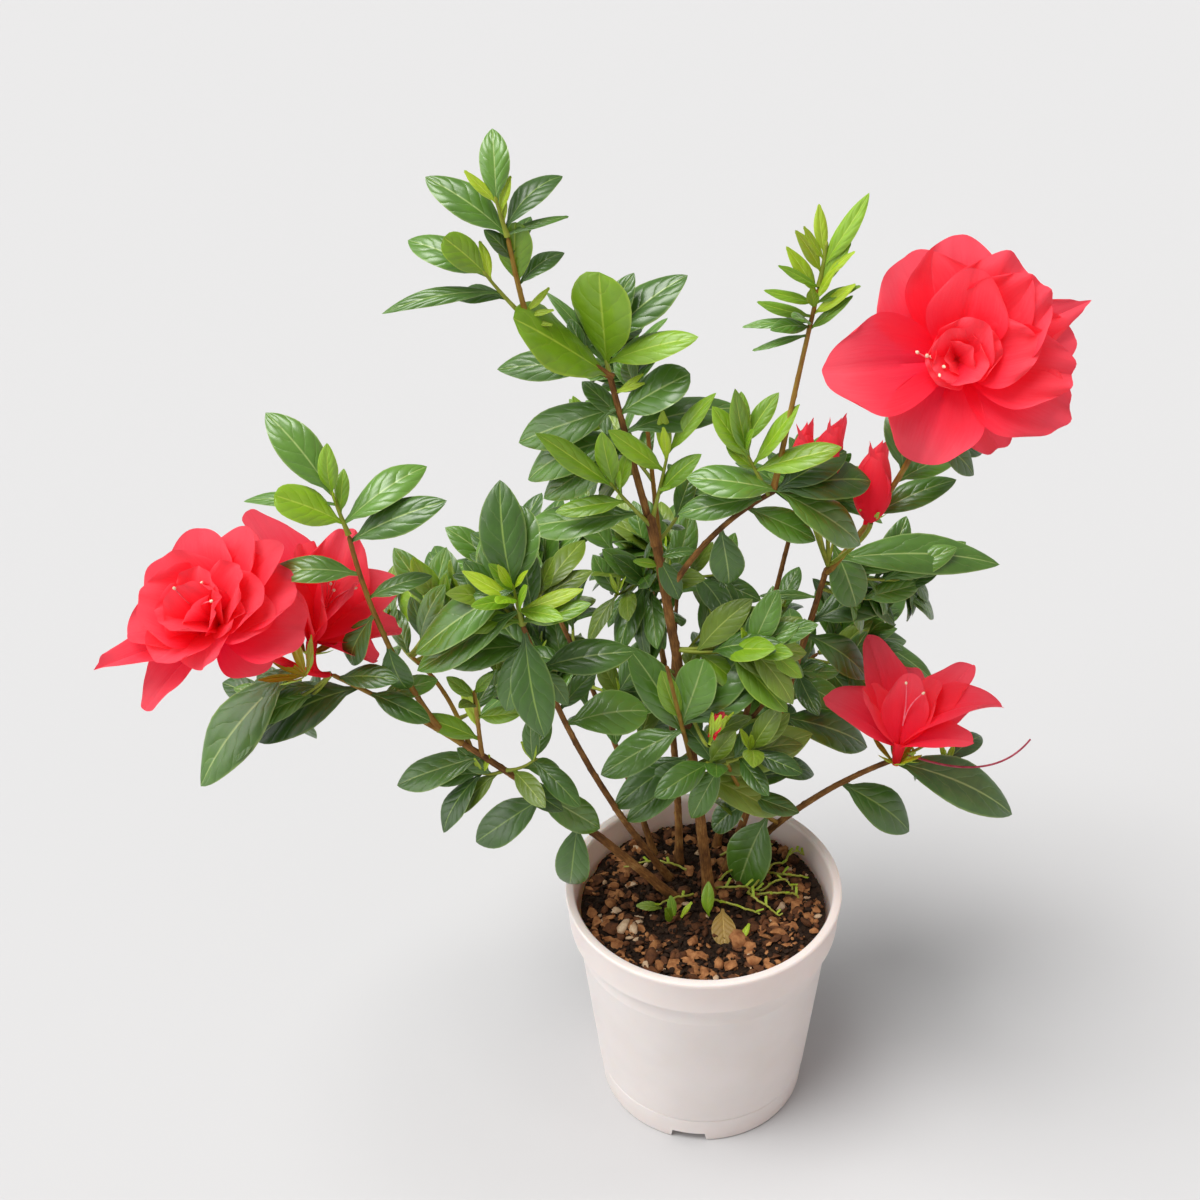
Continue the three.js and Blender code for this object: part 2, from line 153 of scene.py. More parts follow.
def relief(tree, shader, height, strength, depth):
    """Gives a shader fine relief, depth in mm, and returns its normal."""
    bump = node(tree, "ShaderNodeBump", Strength=strength, Distance=depth * MM, Height=height)
    feed(tree, shader, Normal=bump.outputs["Normal"])
    return bump.outputs["Normal"]


def material(name):
    """A new node material: its node tree and its Principled shader."""
    made = bpy.data.materials.new(name)
    made.use_nodes = True
    return made, made.node_tree, made.node_tree.nodes["Principled BSDF"]


def ramp(tree, factor, stops):
    """A colour ramp from a list of (place, hex colour)."""
    made = node(tree, "ShaderNodeValToRGB", Fac=factor)
    while len(made.color_ramp.elements) < len(stops):
        made.color_ramp.elements.new(0.5)
    for element, (place, colour) in zip(made.color_ramp.elements, stops):
        element.position = place
        element.color = linear(colour)
    return made.outputs["Color"]


print("white in linear values:", linear("#ffffff"))

# %% [markdown]
# ## Light and floor
# The shrub stands on a plain pale floor that runs past the edges of the view. A wide soft sun from
# above on the left gives the leaves their sheen and lets the pot's shadow fall to the right. A wider
# one from the left side rounds the pot, and a weak warm one from the right is light off a wall. The
# world adds the even light of a bright room, which fills the shadow.

# %% Light and floor
FLOOR_SIDE = 12
ROOM_LIGHT = 0.40
bpy.ops.object.select_all(action="DESELECT")
bpy.ops.mesh.primitive_plane_add(size=FLOOR_SIDE, location=(0, 0, 0))
floor = bpy.context.object
floor.name = "studio_floor"
floor_paint, tree, shader = material("matt_studio_paint")
# Matt emulsion: no gloss at all, so the floor gives an even pale grey to its edges.
cloud = node(tree, "ShaderNodeTexNoise", Scale=1.5, Detail=2).outputs["Fac"]
feed(tree, shader, Base_Color=ramp(tree, cloud, [(0.3, "#c2c2c3"), (0.7, "#c4c4c5")]))
feed(tree, shader, Roughness=0.95, Specular_IOR_Level=0.1)
floor.data.materials.append(floor_paint)
floor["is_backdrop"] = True

LAMPS = {
    # name: where it shines from, strength, how wide it looks in degrees, colour
    "soft_window": ((-0.33, -0.12, 0.94), 3.35, 38, (1.0, 0.99, 0.97)),
    "side_window": ((-0.95, -0.20, 0.28), 1.4, 55, (1.0, 1.0, 1.0)),
    "warm_wall": ((0.90, -0.42, 0.10), 0.36, 60, (1.0, 0.55, 0.36)),
}
for name, (shines_from, strength, width, tone) in LAMPS.items():
    sun = bpy.data.lights.new(name, "SUN")
    sun.energy = strength
    sun.angle = math.radians(width)
    sun.color = tone
    put(name, sun).rotation_euler = Vector(shines_from).to_track_quat("Z", "Y").to_euler()

world = bpy.data.worlds.new("bright_room")
bpy.context.scene.world = world
world.use_nodes = True
air = world.node_tree.nodes["Background"]
feed(world.node_tree, air, Color=(0.97, 0.985, 1.0, 1.0), Strength=ROOM_LIGHT)
print("floor", FLOOR_SIDE, "m wide, lamps:", list(LAMPS))

# %% [markdown]
# ## The pot
# A nursery pot is one thin wall of white polypropylene, drawn out on a lathe-like mould: a deep rim
# band, two faint lines round the wall, a foot ring with notches and a recessed underside with drain
# holes. It could be a profile on a Screw modifier, but walking one ring of edges round the whole
# section by extruding and scaling it shows every step, and closes the solid at both ends.

# %% The pot's wall
POT_SEGMENTS = 160
DISC_RADIUS = 15
WALL = 2
FOOT_RADIUS = 46
SLOPE = 9.4 / 95


def wall_radius(height):
    """The outside radius of the tapered wall, in mm."""
    return FOOT_RADIUS + SLOPE * height


def only(thing):
    """Selects one object alone and makes it the active one."""
    bpy.ops.object.select_all(action="DESELECT")
    thing.select_set(True)
    bpy.context.view_layer.objects.active = thing


POT_SECTION = [
    # radius and height of each ring in mm: underside, foot ring, wall with its lines, rim, inside
    (17, 4), (35, 4), (37, 0.4), (37.4, 0), (44.8, 0), (45.6, 0.5), (46, 1.4),
    (wall_radius(13.6) - 0.25, 13.6), (wall_radius(14) - 0.6, 14.1), (wall_radius(15) - 0.1, 14.9),
    (wall_radius(15.4), 15.4), (wall_radius(83), 83), (wall_radius(83.6) + 0.25, 83.9),
    (wall_radius(85) + 0.25, 84.6), (wall_radius(86) + 0.1, 85.4), (wall_radius(93) + 0.1, 93),
    (56, 94.6), (57.6, 95.5), (58.4, 96.2), (58.6, 97.2), (59.3, 110.6), (59.8, 111.7),
    (60, 112.6), (59.9, 113.4), (59.5, 113.9), (58.8, 114), (57.4, 114), (56.6, 113.8),
    (56.1, 113.2), (55.8, 112), (55.6, 98), (53.4, 93), (wall_radius(60) - WALL, 60),
    (wall_radius(9) - WALL, 9), (wall_radius(6) - WALL - 1, 7), (wall_radius(6) - WALL - 3, 6),
]
bpy.ops.object.select_all(action="DESELECT")
bpy.ops.mesh.primitive_circle_add(vertices=POT_SEGMENTS, radius=DISC_RADIUS * MM, fill_type="NGON")
pot = bpy.context.object
pot.name = "moulded_pot"
bpy.ops.object.mode_set(mode="EDIT")
bpy.ops.mesh.select_all(action="SELECT")
ring_radius, ring_height = DISC_RADIUS, 0
for radius, height in POT_SECTION:
    bpy.ops.mesh.extrude_edges_move()
    grow = radius / ring_radius
    bpy.ops.transform.resize(value=(grow, grow, 1))
    bpy.ops.transform.translate(value=(0, 0, (height - ring_height) * MM))
    ring_radius, ring_height = radius, height
bpy.ops.mesh.edge_face_add()
bpy.ops.mesh.select_all(action="SELECT")
bpy.ops.mesh.remove_doubles(threshold=1e-6)
bpy.ops.mesh.normals_make_consistent(inside=False)
bpy.ops.object.mode_set(mode="OBJECT")
print("pot wall:", len(pot.data.vertices), "points, in mm:", [round(d / MM) for d in pot.dimensions])

# %% [markdown]
# The notches let water run out from under the foot ring, and the holes drain the pot. Each is modelled
# once as a cutter, copied round the pot, and taken out with a Boolean modifier that is then applied.

# %% Notches and drain holes
NOTCH_FIRST, NOTCH_COUNT, NOTCH_PLACE = 259, 3, 43
NOTCH_DEPTH, NOTCH_WIDTH, NOTCH_TOP_WIDTH, NOTCH_HEIGHT = 14, 18, 14.5, 5
DRAIN_FIRST, DRAIN_COUNT, DRAIN_PLACE, DRAIN_RADIUS = 45, 4, 26, 4
BASE_HEIGHT = 5


def round_pot(first, count, k, radius, height=0):
    """The azimuth of one of count places round the pot, and that place in metres."""
    azimuth = math.radians(first + 360 / count * k)
    return azimuth, (radius * MM * math.cos(azimuth), radius * MM * math.sin(azimuth), height * MM)


cutters = []
bpy.ops.object.select_all(action="DESELECT")
for k in range(NOTCH_COUNT):
    azimuth, place = round_pot(NOTCH_FIRST, NOTCH_COUNT, k, NOTCH_PLACE)
    bpy.ops.mesh.primitive_cube_add(size=1, location=place, rotation=(0, 0, azimuth))
    notch = bpy.context.object
    notch.scale = (NOTCH_DEPTH * MM, NOTCH_WIDTH * MM, 2 * NOTCH_HEIGHT * MM)
    for vertex in notch.data.vertices:
        if vertex.co.z > 0:
            vertex.co.y *= NOTCH_TOP_WIDTH / NOTCH_WIDTH
    cutters.append(notch)
for k in range(DRAIN_COUNT):
    azimuth, place = round_pot(DRAIN_FIRST, DRAIN_COUNT, k, DRAIN_PLACE, BASE_HEIGHT)
    bpy.ops.mesh.primitive_cylinder_add(vertices=24, radius=DRAIN_RADIUS * MM, depth=8 * MM, location=place)
    cutters.append(bpy.context.object)
for cutter in cutters:
    only(cutter)
    bpy.ops.object.transform_apply()
    cut = pot.modifiers.new("cut", "BOOLEAN")
    cut.object = cutter
    cut.solver = "EXACT"
    bpy.context.view_layer.objects.active = pot
    bpy.ops.object.modifier_apply(modifier="cut")
    bpy.data.objects.remove(cutter)
only(pot)
bpy.ops.object.shade_smooth_by_angle(angle=math.radians(28))
print("pot with", NOTCH_COUNT, "notches and", DRAIN_COUNT, "holes:", len(pot.data.polygons), "faces")

# %% [markdown]
# White polypropylene is a soft, slightly see-through plastic, moulded against satin steel. Light goes
# a few millimetres in and comes out warm, which is why the shaded side looks creamy and not grey. A
# very faint unevenness and a broad, soft highlight give the eye the thin moulded wall.

# %% Moulded polypropylene
pot_plastic, tree, shader = material("moulded_white_polypropylene")
whites = ramp(tree, mottle(tree, 35, 3), [(0.25, "#e6dad5"), (0.75, "#efe3df")])
satin = mottle(tree, 900, 2)
feed(tree, shader, Base_Color=whites, Roughness=remap(tree, satin, 0, 1, 0.36, 0.46), IOR=1.49)
feed(tree, shader, Subsurface_Weight=0.35, Subsurface_Radius=(1.0, 0.62, 0.42), Subsurface_Scale=6 * MM)
relief(tree, shader, satin, 0.06, 0.2)
pot.data.materials.append(pot_plastic)
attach(pot, "root")
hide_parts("pot")
print("pot finish:", pot_plastic.name)

# %% [markdown]
# ## Heaps of small shapes
# Leaves, twigs, petals and bark chips come in hundreds. Each is a small set of points and faces put in
# a heap of its own kind, and at the end each heap becomes one mesh. Every shape carries a map of its
# own surface, for veins and bark streaks, and one tint value, so that no two are quite the same.


# %% Heaps and directions
heaps = {}
chance = np.random.default_rng(7)


def add_shape(heap, points, faces, corner_map, tint=None):
    """Puts one shape in a heap. Points are in mm, and corner_map has a place for each face corner."""
    value = chance.random() if tint is None else tint
    heaps.setdefault(heap, []).append((np.asarray(points), faces, corner_map, value))


def unit(vector):
    """The same direction with a length of 1."""
    vector = np.asarray(vector, float)
    return vector / max(np.linalg.norm(vector), 1e-9)


def heading(azimuth, rise):
    """The direction at an azimuth round Z and a rise above level, both in degrees."""
    a, r = math.radians(azimuth), math.radians(rise)
    return np.array([math.cos(r) * math.cos(a), math.cos(r) * math.sin(a), math.sin(r)])


def joined(name, heap, finish, slot, replaces=()):
    """Makes one object of a heap, in its finish, riding on the plant's one body."""
    start, places, corners, maps, tints = 0, [], [], [], []
    for points, faces, corner_map, value in heaps[heap]:
        places.append(points)
        corners.append(faces + start)
        maps.append(corner_map.reshape(-1, 2))
        tints.append(np.full(len(points), value))
        start += len(points)
    mesh = bpy.data.meshes.new(name)
    mesh.from_pydata((np.concatenate(places) * MM).tolist(), [], np.concatenate(corners).tolist())
    mesh.uv_layers.new(name="surface").data.foreach_set("uv", np.concatenate(maps).ravel())
    mesh.attributes.new("tint", "FLOAT", "POINT").data.foreach_set("value", np.concatenate(tints))
    made = put(name, mesh)
    only(made)
    bpy.ops.object.mode_set(mode="EDIT")
    bpy.ops.mesh.select_all(action="SELECT")
    bpy.ops.mesh.remove_doubles(threshold=2e-6)
    bpy.ops.object.mode_set(mode="OBJECT")
    bpy.ops.object.shade_smooth_by_angle(angle=math.radians(55))
    mesh.materials.append(finish)
    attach(made, "root")
    if replaces:
        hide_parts(*replaces)
    triangles = sum(len(face.vertices) - 2 for face in mesh.polygons)
    print(f"{name}: {len(heaps[heap])} shapes, {triangles} triangles")


def bearings(way):
    """The azimuth and the rise of a direction, in degrees."""
    return math.degrees(math.atan2(way[1], way[0])), math.degrees(math.asin(way[2]))


def pattern(add, **settings):
    """The points and faces of a primitive, as arrays."""
    bpy.ops.object.select_all(action="DESELECT")
    add(**settings)
    made = bpy.context.object
    points = np.array([v.co for v in made.data.vertices])
    faces = np.array([list(p.vertices) for p in made.data.polygons])
    bpy.data.objects.remove(made)
    return points, faces


def curve(start, middle, end, count):
    """Points on the smooth bend from start to end that middle pulls aside."""
    t = np.linspace(0, 1, count)[:, None]
    start, middle, end = (np.asarray(p, float) for p in (start, middle, end))
    return (1 - t) ** 2 * start + 2 * t * (1 - t) * middle + t * t * end


def travelled(path):
    """How far along a path each of its points is, in mm."""
    return np.r_[0, np.cumsum(np.linalg.norm(np.diff(path, axis=0), axis=1))]


print("a leaf pointing left and up goes", heading(180, 45).round(2))


# %% [markdown]
# A tube is a row of rings, each turned no more than the bend between them asks, so that streaks of
# bark run straight along it. Where its radius is given for each point of each ring, it takes relief.


# %% Tubes
def tube(heap, path, radius, sides=8, tint=None, map_size=1.0):
    """Adds a tube along a path. Radius is one number, one per ring, or one per ring and side."""
    ahead = np.gradient(path, axis=0)
    ahead /= np.linalg.norm(ahead, axis=1)[:, None]
    if np.ndim(radius) < 2:
        radius = np.asarray(radius, float).reshape(-1, 1)
    radius = np.broadcast_to(radius, (len(path), sides))
    across = unit(np.cross(ahead[0], (0.2, -1, 0.1)))
    angle = np.arange(sides) / sides * 2 * math.pi
    rings = []
    for k in range(len(path)):
        across = unit(across - (across @ ahead[k]) * ahead[k])
        other = np.cross(ahead[k], across)
        spokes = np.cos(angle)[:, None] * across + np.sin(angle)[:, None] * other
        rings.append(path[k] + radius[k][:, None] * spokes)
    k, j = np.meshgrid(np.arange(len(path) - 1), np.arange(sides), indexing="ij")
    k, j = k.ravel(), j.ravel()
    after = (j + 1) % sides
    faces = np.stack([k * sides + j, k * sides + after, (k + 1) * sides + after, (k + 1) * sides + j], 1)
    girth = 2 * math.pi * radius.mean() / sides
    far = travelled(path)
    low = np.stack([j * girth, far[k]], 1)
    step = np.stack([np.full(len(j), girth), np.zeros(len(j))], 1)
    rise = np.stack([np.zeros(len(j)), far[k + 1] - far[k]], 1)
    corner_map = np.stack([low, low + step, low + step + rise, low + rise], 1) / map_size
    add_shape(heap, np.concatenate(rings), faces, corner_map, tint)


# %% [markdown]
# ## Stems and boughs
# Each limb follows the same three points as its CAD solid, in mm: where it starts, the point that
# bends it, and its end, with its thickness at both ends. Azalea wood is brown and finely cracked, with
# a small ledge at every old leaf. So the tube gets shallow ridges, leaf scars that wind round it by the
# golden angle, and a flare where it leaves the soil or its parent. It is a little slimmer than the
# solid, which is thick enough for physics.

# %% Limbs
STEM_FOOT = 102
LIMBS = {
    # name: foot, bend and tip in mm, and the radius at the foot and at the tip
    "main_stem": ((3, 5, 102), (-5, 5, 201), (-21, 5, 299), 2.9, 2.0),
    "leader": ((-19, 5, 285), (-27, 9, 319), (-35, 14, 354), 1.8, 1.3),
    "top_bough": ((-34, 14, 352), (-49, 8, 366), (-64, 3, 381), 1.4, 1.2),
    "top_shoot": ((-63, 4, 380), (-66, 1, 397), (-68, -1, 413), 1.2, 0.9),
    "right_bough": ((-15, 5, 260), (-1, -1, 296), (25, -8, 315), 1.5, 1.1),
    "spike": ((24, -7, 315), (30, -7, 354), (37, -7, 394), 1.3, 0.9),
    "right_stem": ((13, 24, 102), (34, 26, 182), (51, 28, 258), 2.2, 1.4),
    "bloom_stalk": ((51, 28, 255), (69, 11, 294), (80, -6, 342), 1.4, 1.2),
    "low_right_stem": ((21, 31, 102), (45, 20, 146), (80, 8, 173), 2.0, 1.3),
    "left_stem": ((-12, 3, 102), (-51, -13, 165), (-98, -28, 220), 2.5, 1.4),
    "left_flower_stalk": ((-96, -28, 218), (-119, -30, 239), (-142, -32, 256), 1.3, 1.0),
    "left_upright": ((-104, -28, 225), (-124, -32, 270), (-128, -36, 319), 1.4, 1.0),
    "left_second": ((-93, -26, 213), (-100, -17, 238), (-115, -8, 246), 1.2, 0.9),
    "mid_left_stem": ((-14, 17, 102), (-52, -12, 188), (-69, -40, 281), 1.9, 1.1),
    "back_stem": ((-9, 27, 102), (-8, 35, 178), (-22, 44, 253), 2.1, 1.2),
    "front_shoot": ((-4, 5, 173), (-10, -4, 207), (-16, -14, 242), 1.2, 0.9),
    "low_left_shoot": ((-89, -25, 209), (-89, -29, 228), (-89, -34, 248), 1.1, 0.9),
    "low_right_shoot": ((35, 25, 125), (18, 11, 147), (9, -3, 184), 1.1, 0.9),
    "back_left_stem": ((-20, 33, 102), (-38, 47, 171), (-63, 52, 232), 1.7, 1.1),
    "back_right_stem": ((9, 38, 102), (26, 59, 182), (43, 68, 261), 1.8, 1.1),
    "back_bough": ((-12, 35, 178), (-9, 59, 203), (-6, 74, 236), 1.2, 0.9),
    "back_low_bough": ((21, 51, 158), (38, 58, 179), (55, 64, 189), 1.2, 0.9),
    "back_leader": ((-15, 5, 260), (-18, 32, 288), (-21, 48, 324), 1.3, 0.9),
}
YOUNG_WOOD = {"top_shoot", "spike", "front_shoot", "low_left_shoot", "low_right_shoot", "left_upright",
              "left_flower_stalk", "left_second", "bloom_stalk", "back_leader"}
GOLDEN_ANGLE = 137.5
LIMB_SIDES = 18
STEM_SLIMMING = 0.84
SCAR_SPACING = 6.5
SCAR_HEIGHT = 0.42
PATH_POINTS = 60
RING_STEP = 0.9
FIT_ALLOWED = 6


def bark_ridges(far, length, sides, phase):
    """How much each point of each ring stands out from a smooth limb, in mm."""
    angle = np.arange(sides) / sides * 2 * math.pi
    s, a = np.meshgrid(far, angle, indexing="ij")
    proud = 0.07 * np.sin(3 * a + 0.11 * s + phase) + 0.06 * np.sin(5 * a - 0.17 * s + 2 * phase)
    proud += 0.05 * np.sin(7 * a + 0.9 * np.sin(0.35 * s)) + 0.04 * np.sin(1.7 * s + 2 * a + phase)
    for k, at in enumerate(np.arange(6, length, SCAR_SPACING)):
        scar = math.radians(GOLDEN_ANGLE * k) + phase
        ledge = np.exp(-(((s - at) / 0.9) ** 2)) * np.clip(np.cos(a - scar), 0, 1) ** 4
        proud += SCAR_HEIGHT * ledge
    return proud


paths = {}
for number, (name, (start, middle, end, foot, tip)) in enumerate(LIMBS.items()):
    path = curve(start, middle, end, PATH_POINTS)
    paths[name] = path
    from_soil = start[2] == STEM_FOOT
    fine = curve(start, middle, end, max(24, int(travelled(path)[-1] / RING_STEP)))
    if from_soil:
        # One more ring, a few steps down, roots the stem in the mix.
        fine = np.vstack([fine[0] - (fine[1] - fine[0]) * 6, fine])
    far = travelled(fine)
    flare = (0.9 if from_soil else 0.35) * np.exp(-far / (7 if from_soil else 4))
    share = far / far[-1]
    radius = STEM_SLIMMING * (foot + (tip - foot) * share) * (1 + flare)
    ridges = bark_ridges(far, far[-1], LIMB_SIDES, number * 1.3) * (radius / 2.2)[:, None]
    radii = radius[:, None] + ridges
    radii[-1] = 0.01
    radii[-2] *= 0.7
    tube("young_wood" if name in YOUNG_WOOD else "bark", fine, radii, LIMB_SIDES, tint=number / len(LIMBS))
    low, high = (np.array(corner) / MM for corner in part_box(name))
    gap = max(np.abs(path.max(0) - high).max(), np.abs(path.min(0) - low).max())
    if gap > FIT_ALLOWED:
        print("look at", name, "which is", round(gap, 1), "mm off its solid")
print(len(LIMBS), "limbs,", sum(len(shape[0]) for heap in heaps.values() for shape in heap), "points")

# %% [markdown]
# ## One leaf
# An azalea leaf is a pointed oval on a short stalk, folded a little along its midrib, with its sides
# curling down and the whole blade drooping towards the tip. One flat grid is the pattern for all of
# them. A function gives each copy its own width, fold, droop and wave, and stands it on its twig with
# its face to the light. It has only six faces across, so the veins are left to the finish.

# %% The leaf pattern
LEAF_ACROSS = 6
LEAF_ALONG = 12
leaf_grid, leaf_faces = pattern(
    bpy.ops.mesh.primitive_grid_add, x_subdivisions=LEAF_ACROSS, y_subdivisions=LEAF_ALONG, size=2)
LEAF_U = leaf_grid[:, 0]
LEAF_V = 1 - (0.5 - leaf_grid[:, 1] / 2) ** 1.35
LEAF_MAP = np.stack([LEAF_U / 2 + 0.5, LEAF_V], 1)[leaf_faces]
TO_LIGHT = unit((-0.12, -0.5, 0.86))
KINDS = {
    # kind: heap, width, how pointed, fold, droop in degrees
    "G": ("leaf_grown", 0.40, 0.84, 0.20, 26),  # grown
    # D is the grown green made darker: painted shade for leaves deep in the crown.
    "D": ("leaf_painted_shade", 0.41, 0.82, 0.14, 32),  # dark
    "O": ("leaf_olive", 0.38, 0.85, 0.18, 24),  # olive
    "S": ("leaf_grown", 0.34, 0.85, 0.20, 22),  # slim
    "N": ("leaf_grown", 0.18, 0.90, 0.22, 16),  # narrow, seen nearly edge on
    "W": ("leaf_grown", 0.25, 0.85, 0.10, 14),  # long and flat
    "R": ("leaf_grown", 0.58, 0.62, 0.12, 20),  # round
    "Y": ("leaf_young", 0.56, 0.52, 0.14, 12),  # young and round
    "B": ("leaf_young", 0.36, 0.85, 0.24, 12),  # young and bright
    "T": ("leaf_young", 0.26, 0.95, 0.26, 8),  # young and thin
    "L": ("leaf_lime", 0.27, 0.95, 0.28, 6),  # lime, just opened
}
STALK = 0.07
PEAK_POWER = 0.85


def leaf(base, azimuth, rise, length, kind, face=TO_LIGHT):
    """Adds one leaf that points along azimuth and rise, its upper side turned towards face."""
    heap, width, point, fold, droop = KINDS[kind]
    width *= chance.uniform(0.92, 1.08)
    droop = math.radians(droop * chance.uniform(0.5, 1.4))
    wave = chance.uniform(0, 2 * math.pi)
    t = np.clip((LEAF_V - STALK) / (1 - STALK), 0, 1)
    peak = PEAK_POWER / (PEAK_POWER + point)
    half = t**PEAK_POWER * (1 - t) ** point / (peak**PEAK_POWER * (1 - peak) ** point) * width / 2
    half = np.maximum(half, np.where(t > 0.97, 0, 0.6 / length))
    s = np.where(LEAF_V < STALK, LEAF_V, STALK + (1 - STALK) * t)
    bend = droop * (s - 0.35)
    u = np.abs(LEAF_U)
    out = -s * np.sin(bend) * 0.8
    out = out + half * (fold * 2 * u - 0.55 * fold * 4 * u**3)
    out = out + 0.05 * width * u**2 * np.sin(9 * s + wave + LEAF_U) * (half / width * 2)
    sway = 0.06 * np.sin(1.8 * s + wave) * s
    d = heading(azimuth, rise)
    normal = unit(face - (face @ d) * d)
    normal = unit(normal + chance.normal(0, 0.10) * np.cross(d, normal))
    across = np.cross(d, normal)
    side = LEAF_U * half + sway
    points = side[:, None] * across + (s * np.cos(bend))[:, None] * d + out[:, None] * normal
    add_shape(heap, np.asarray(base) + length * points, leaf_faces, LEAF_MAP)


print("leaf pattern:", len(leaf_faces), "faces")

# %% [markdown]
# ## Sprays that show
# A shrub is known by its outer sprays, so these are set leaf by leaf, as one would wire a bouquet. Each
# spray follows one limb from a first share of its length to a last, and may run on into a fresh green
# twig, given as azimuth, rise and length. Each leaf is its share along that path, its azimuth and rise
# in degrees, its length in mm and its kind.

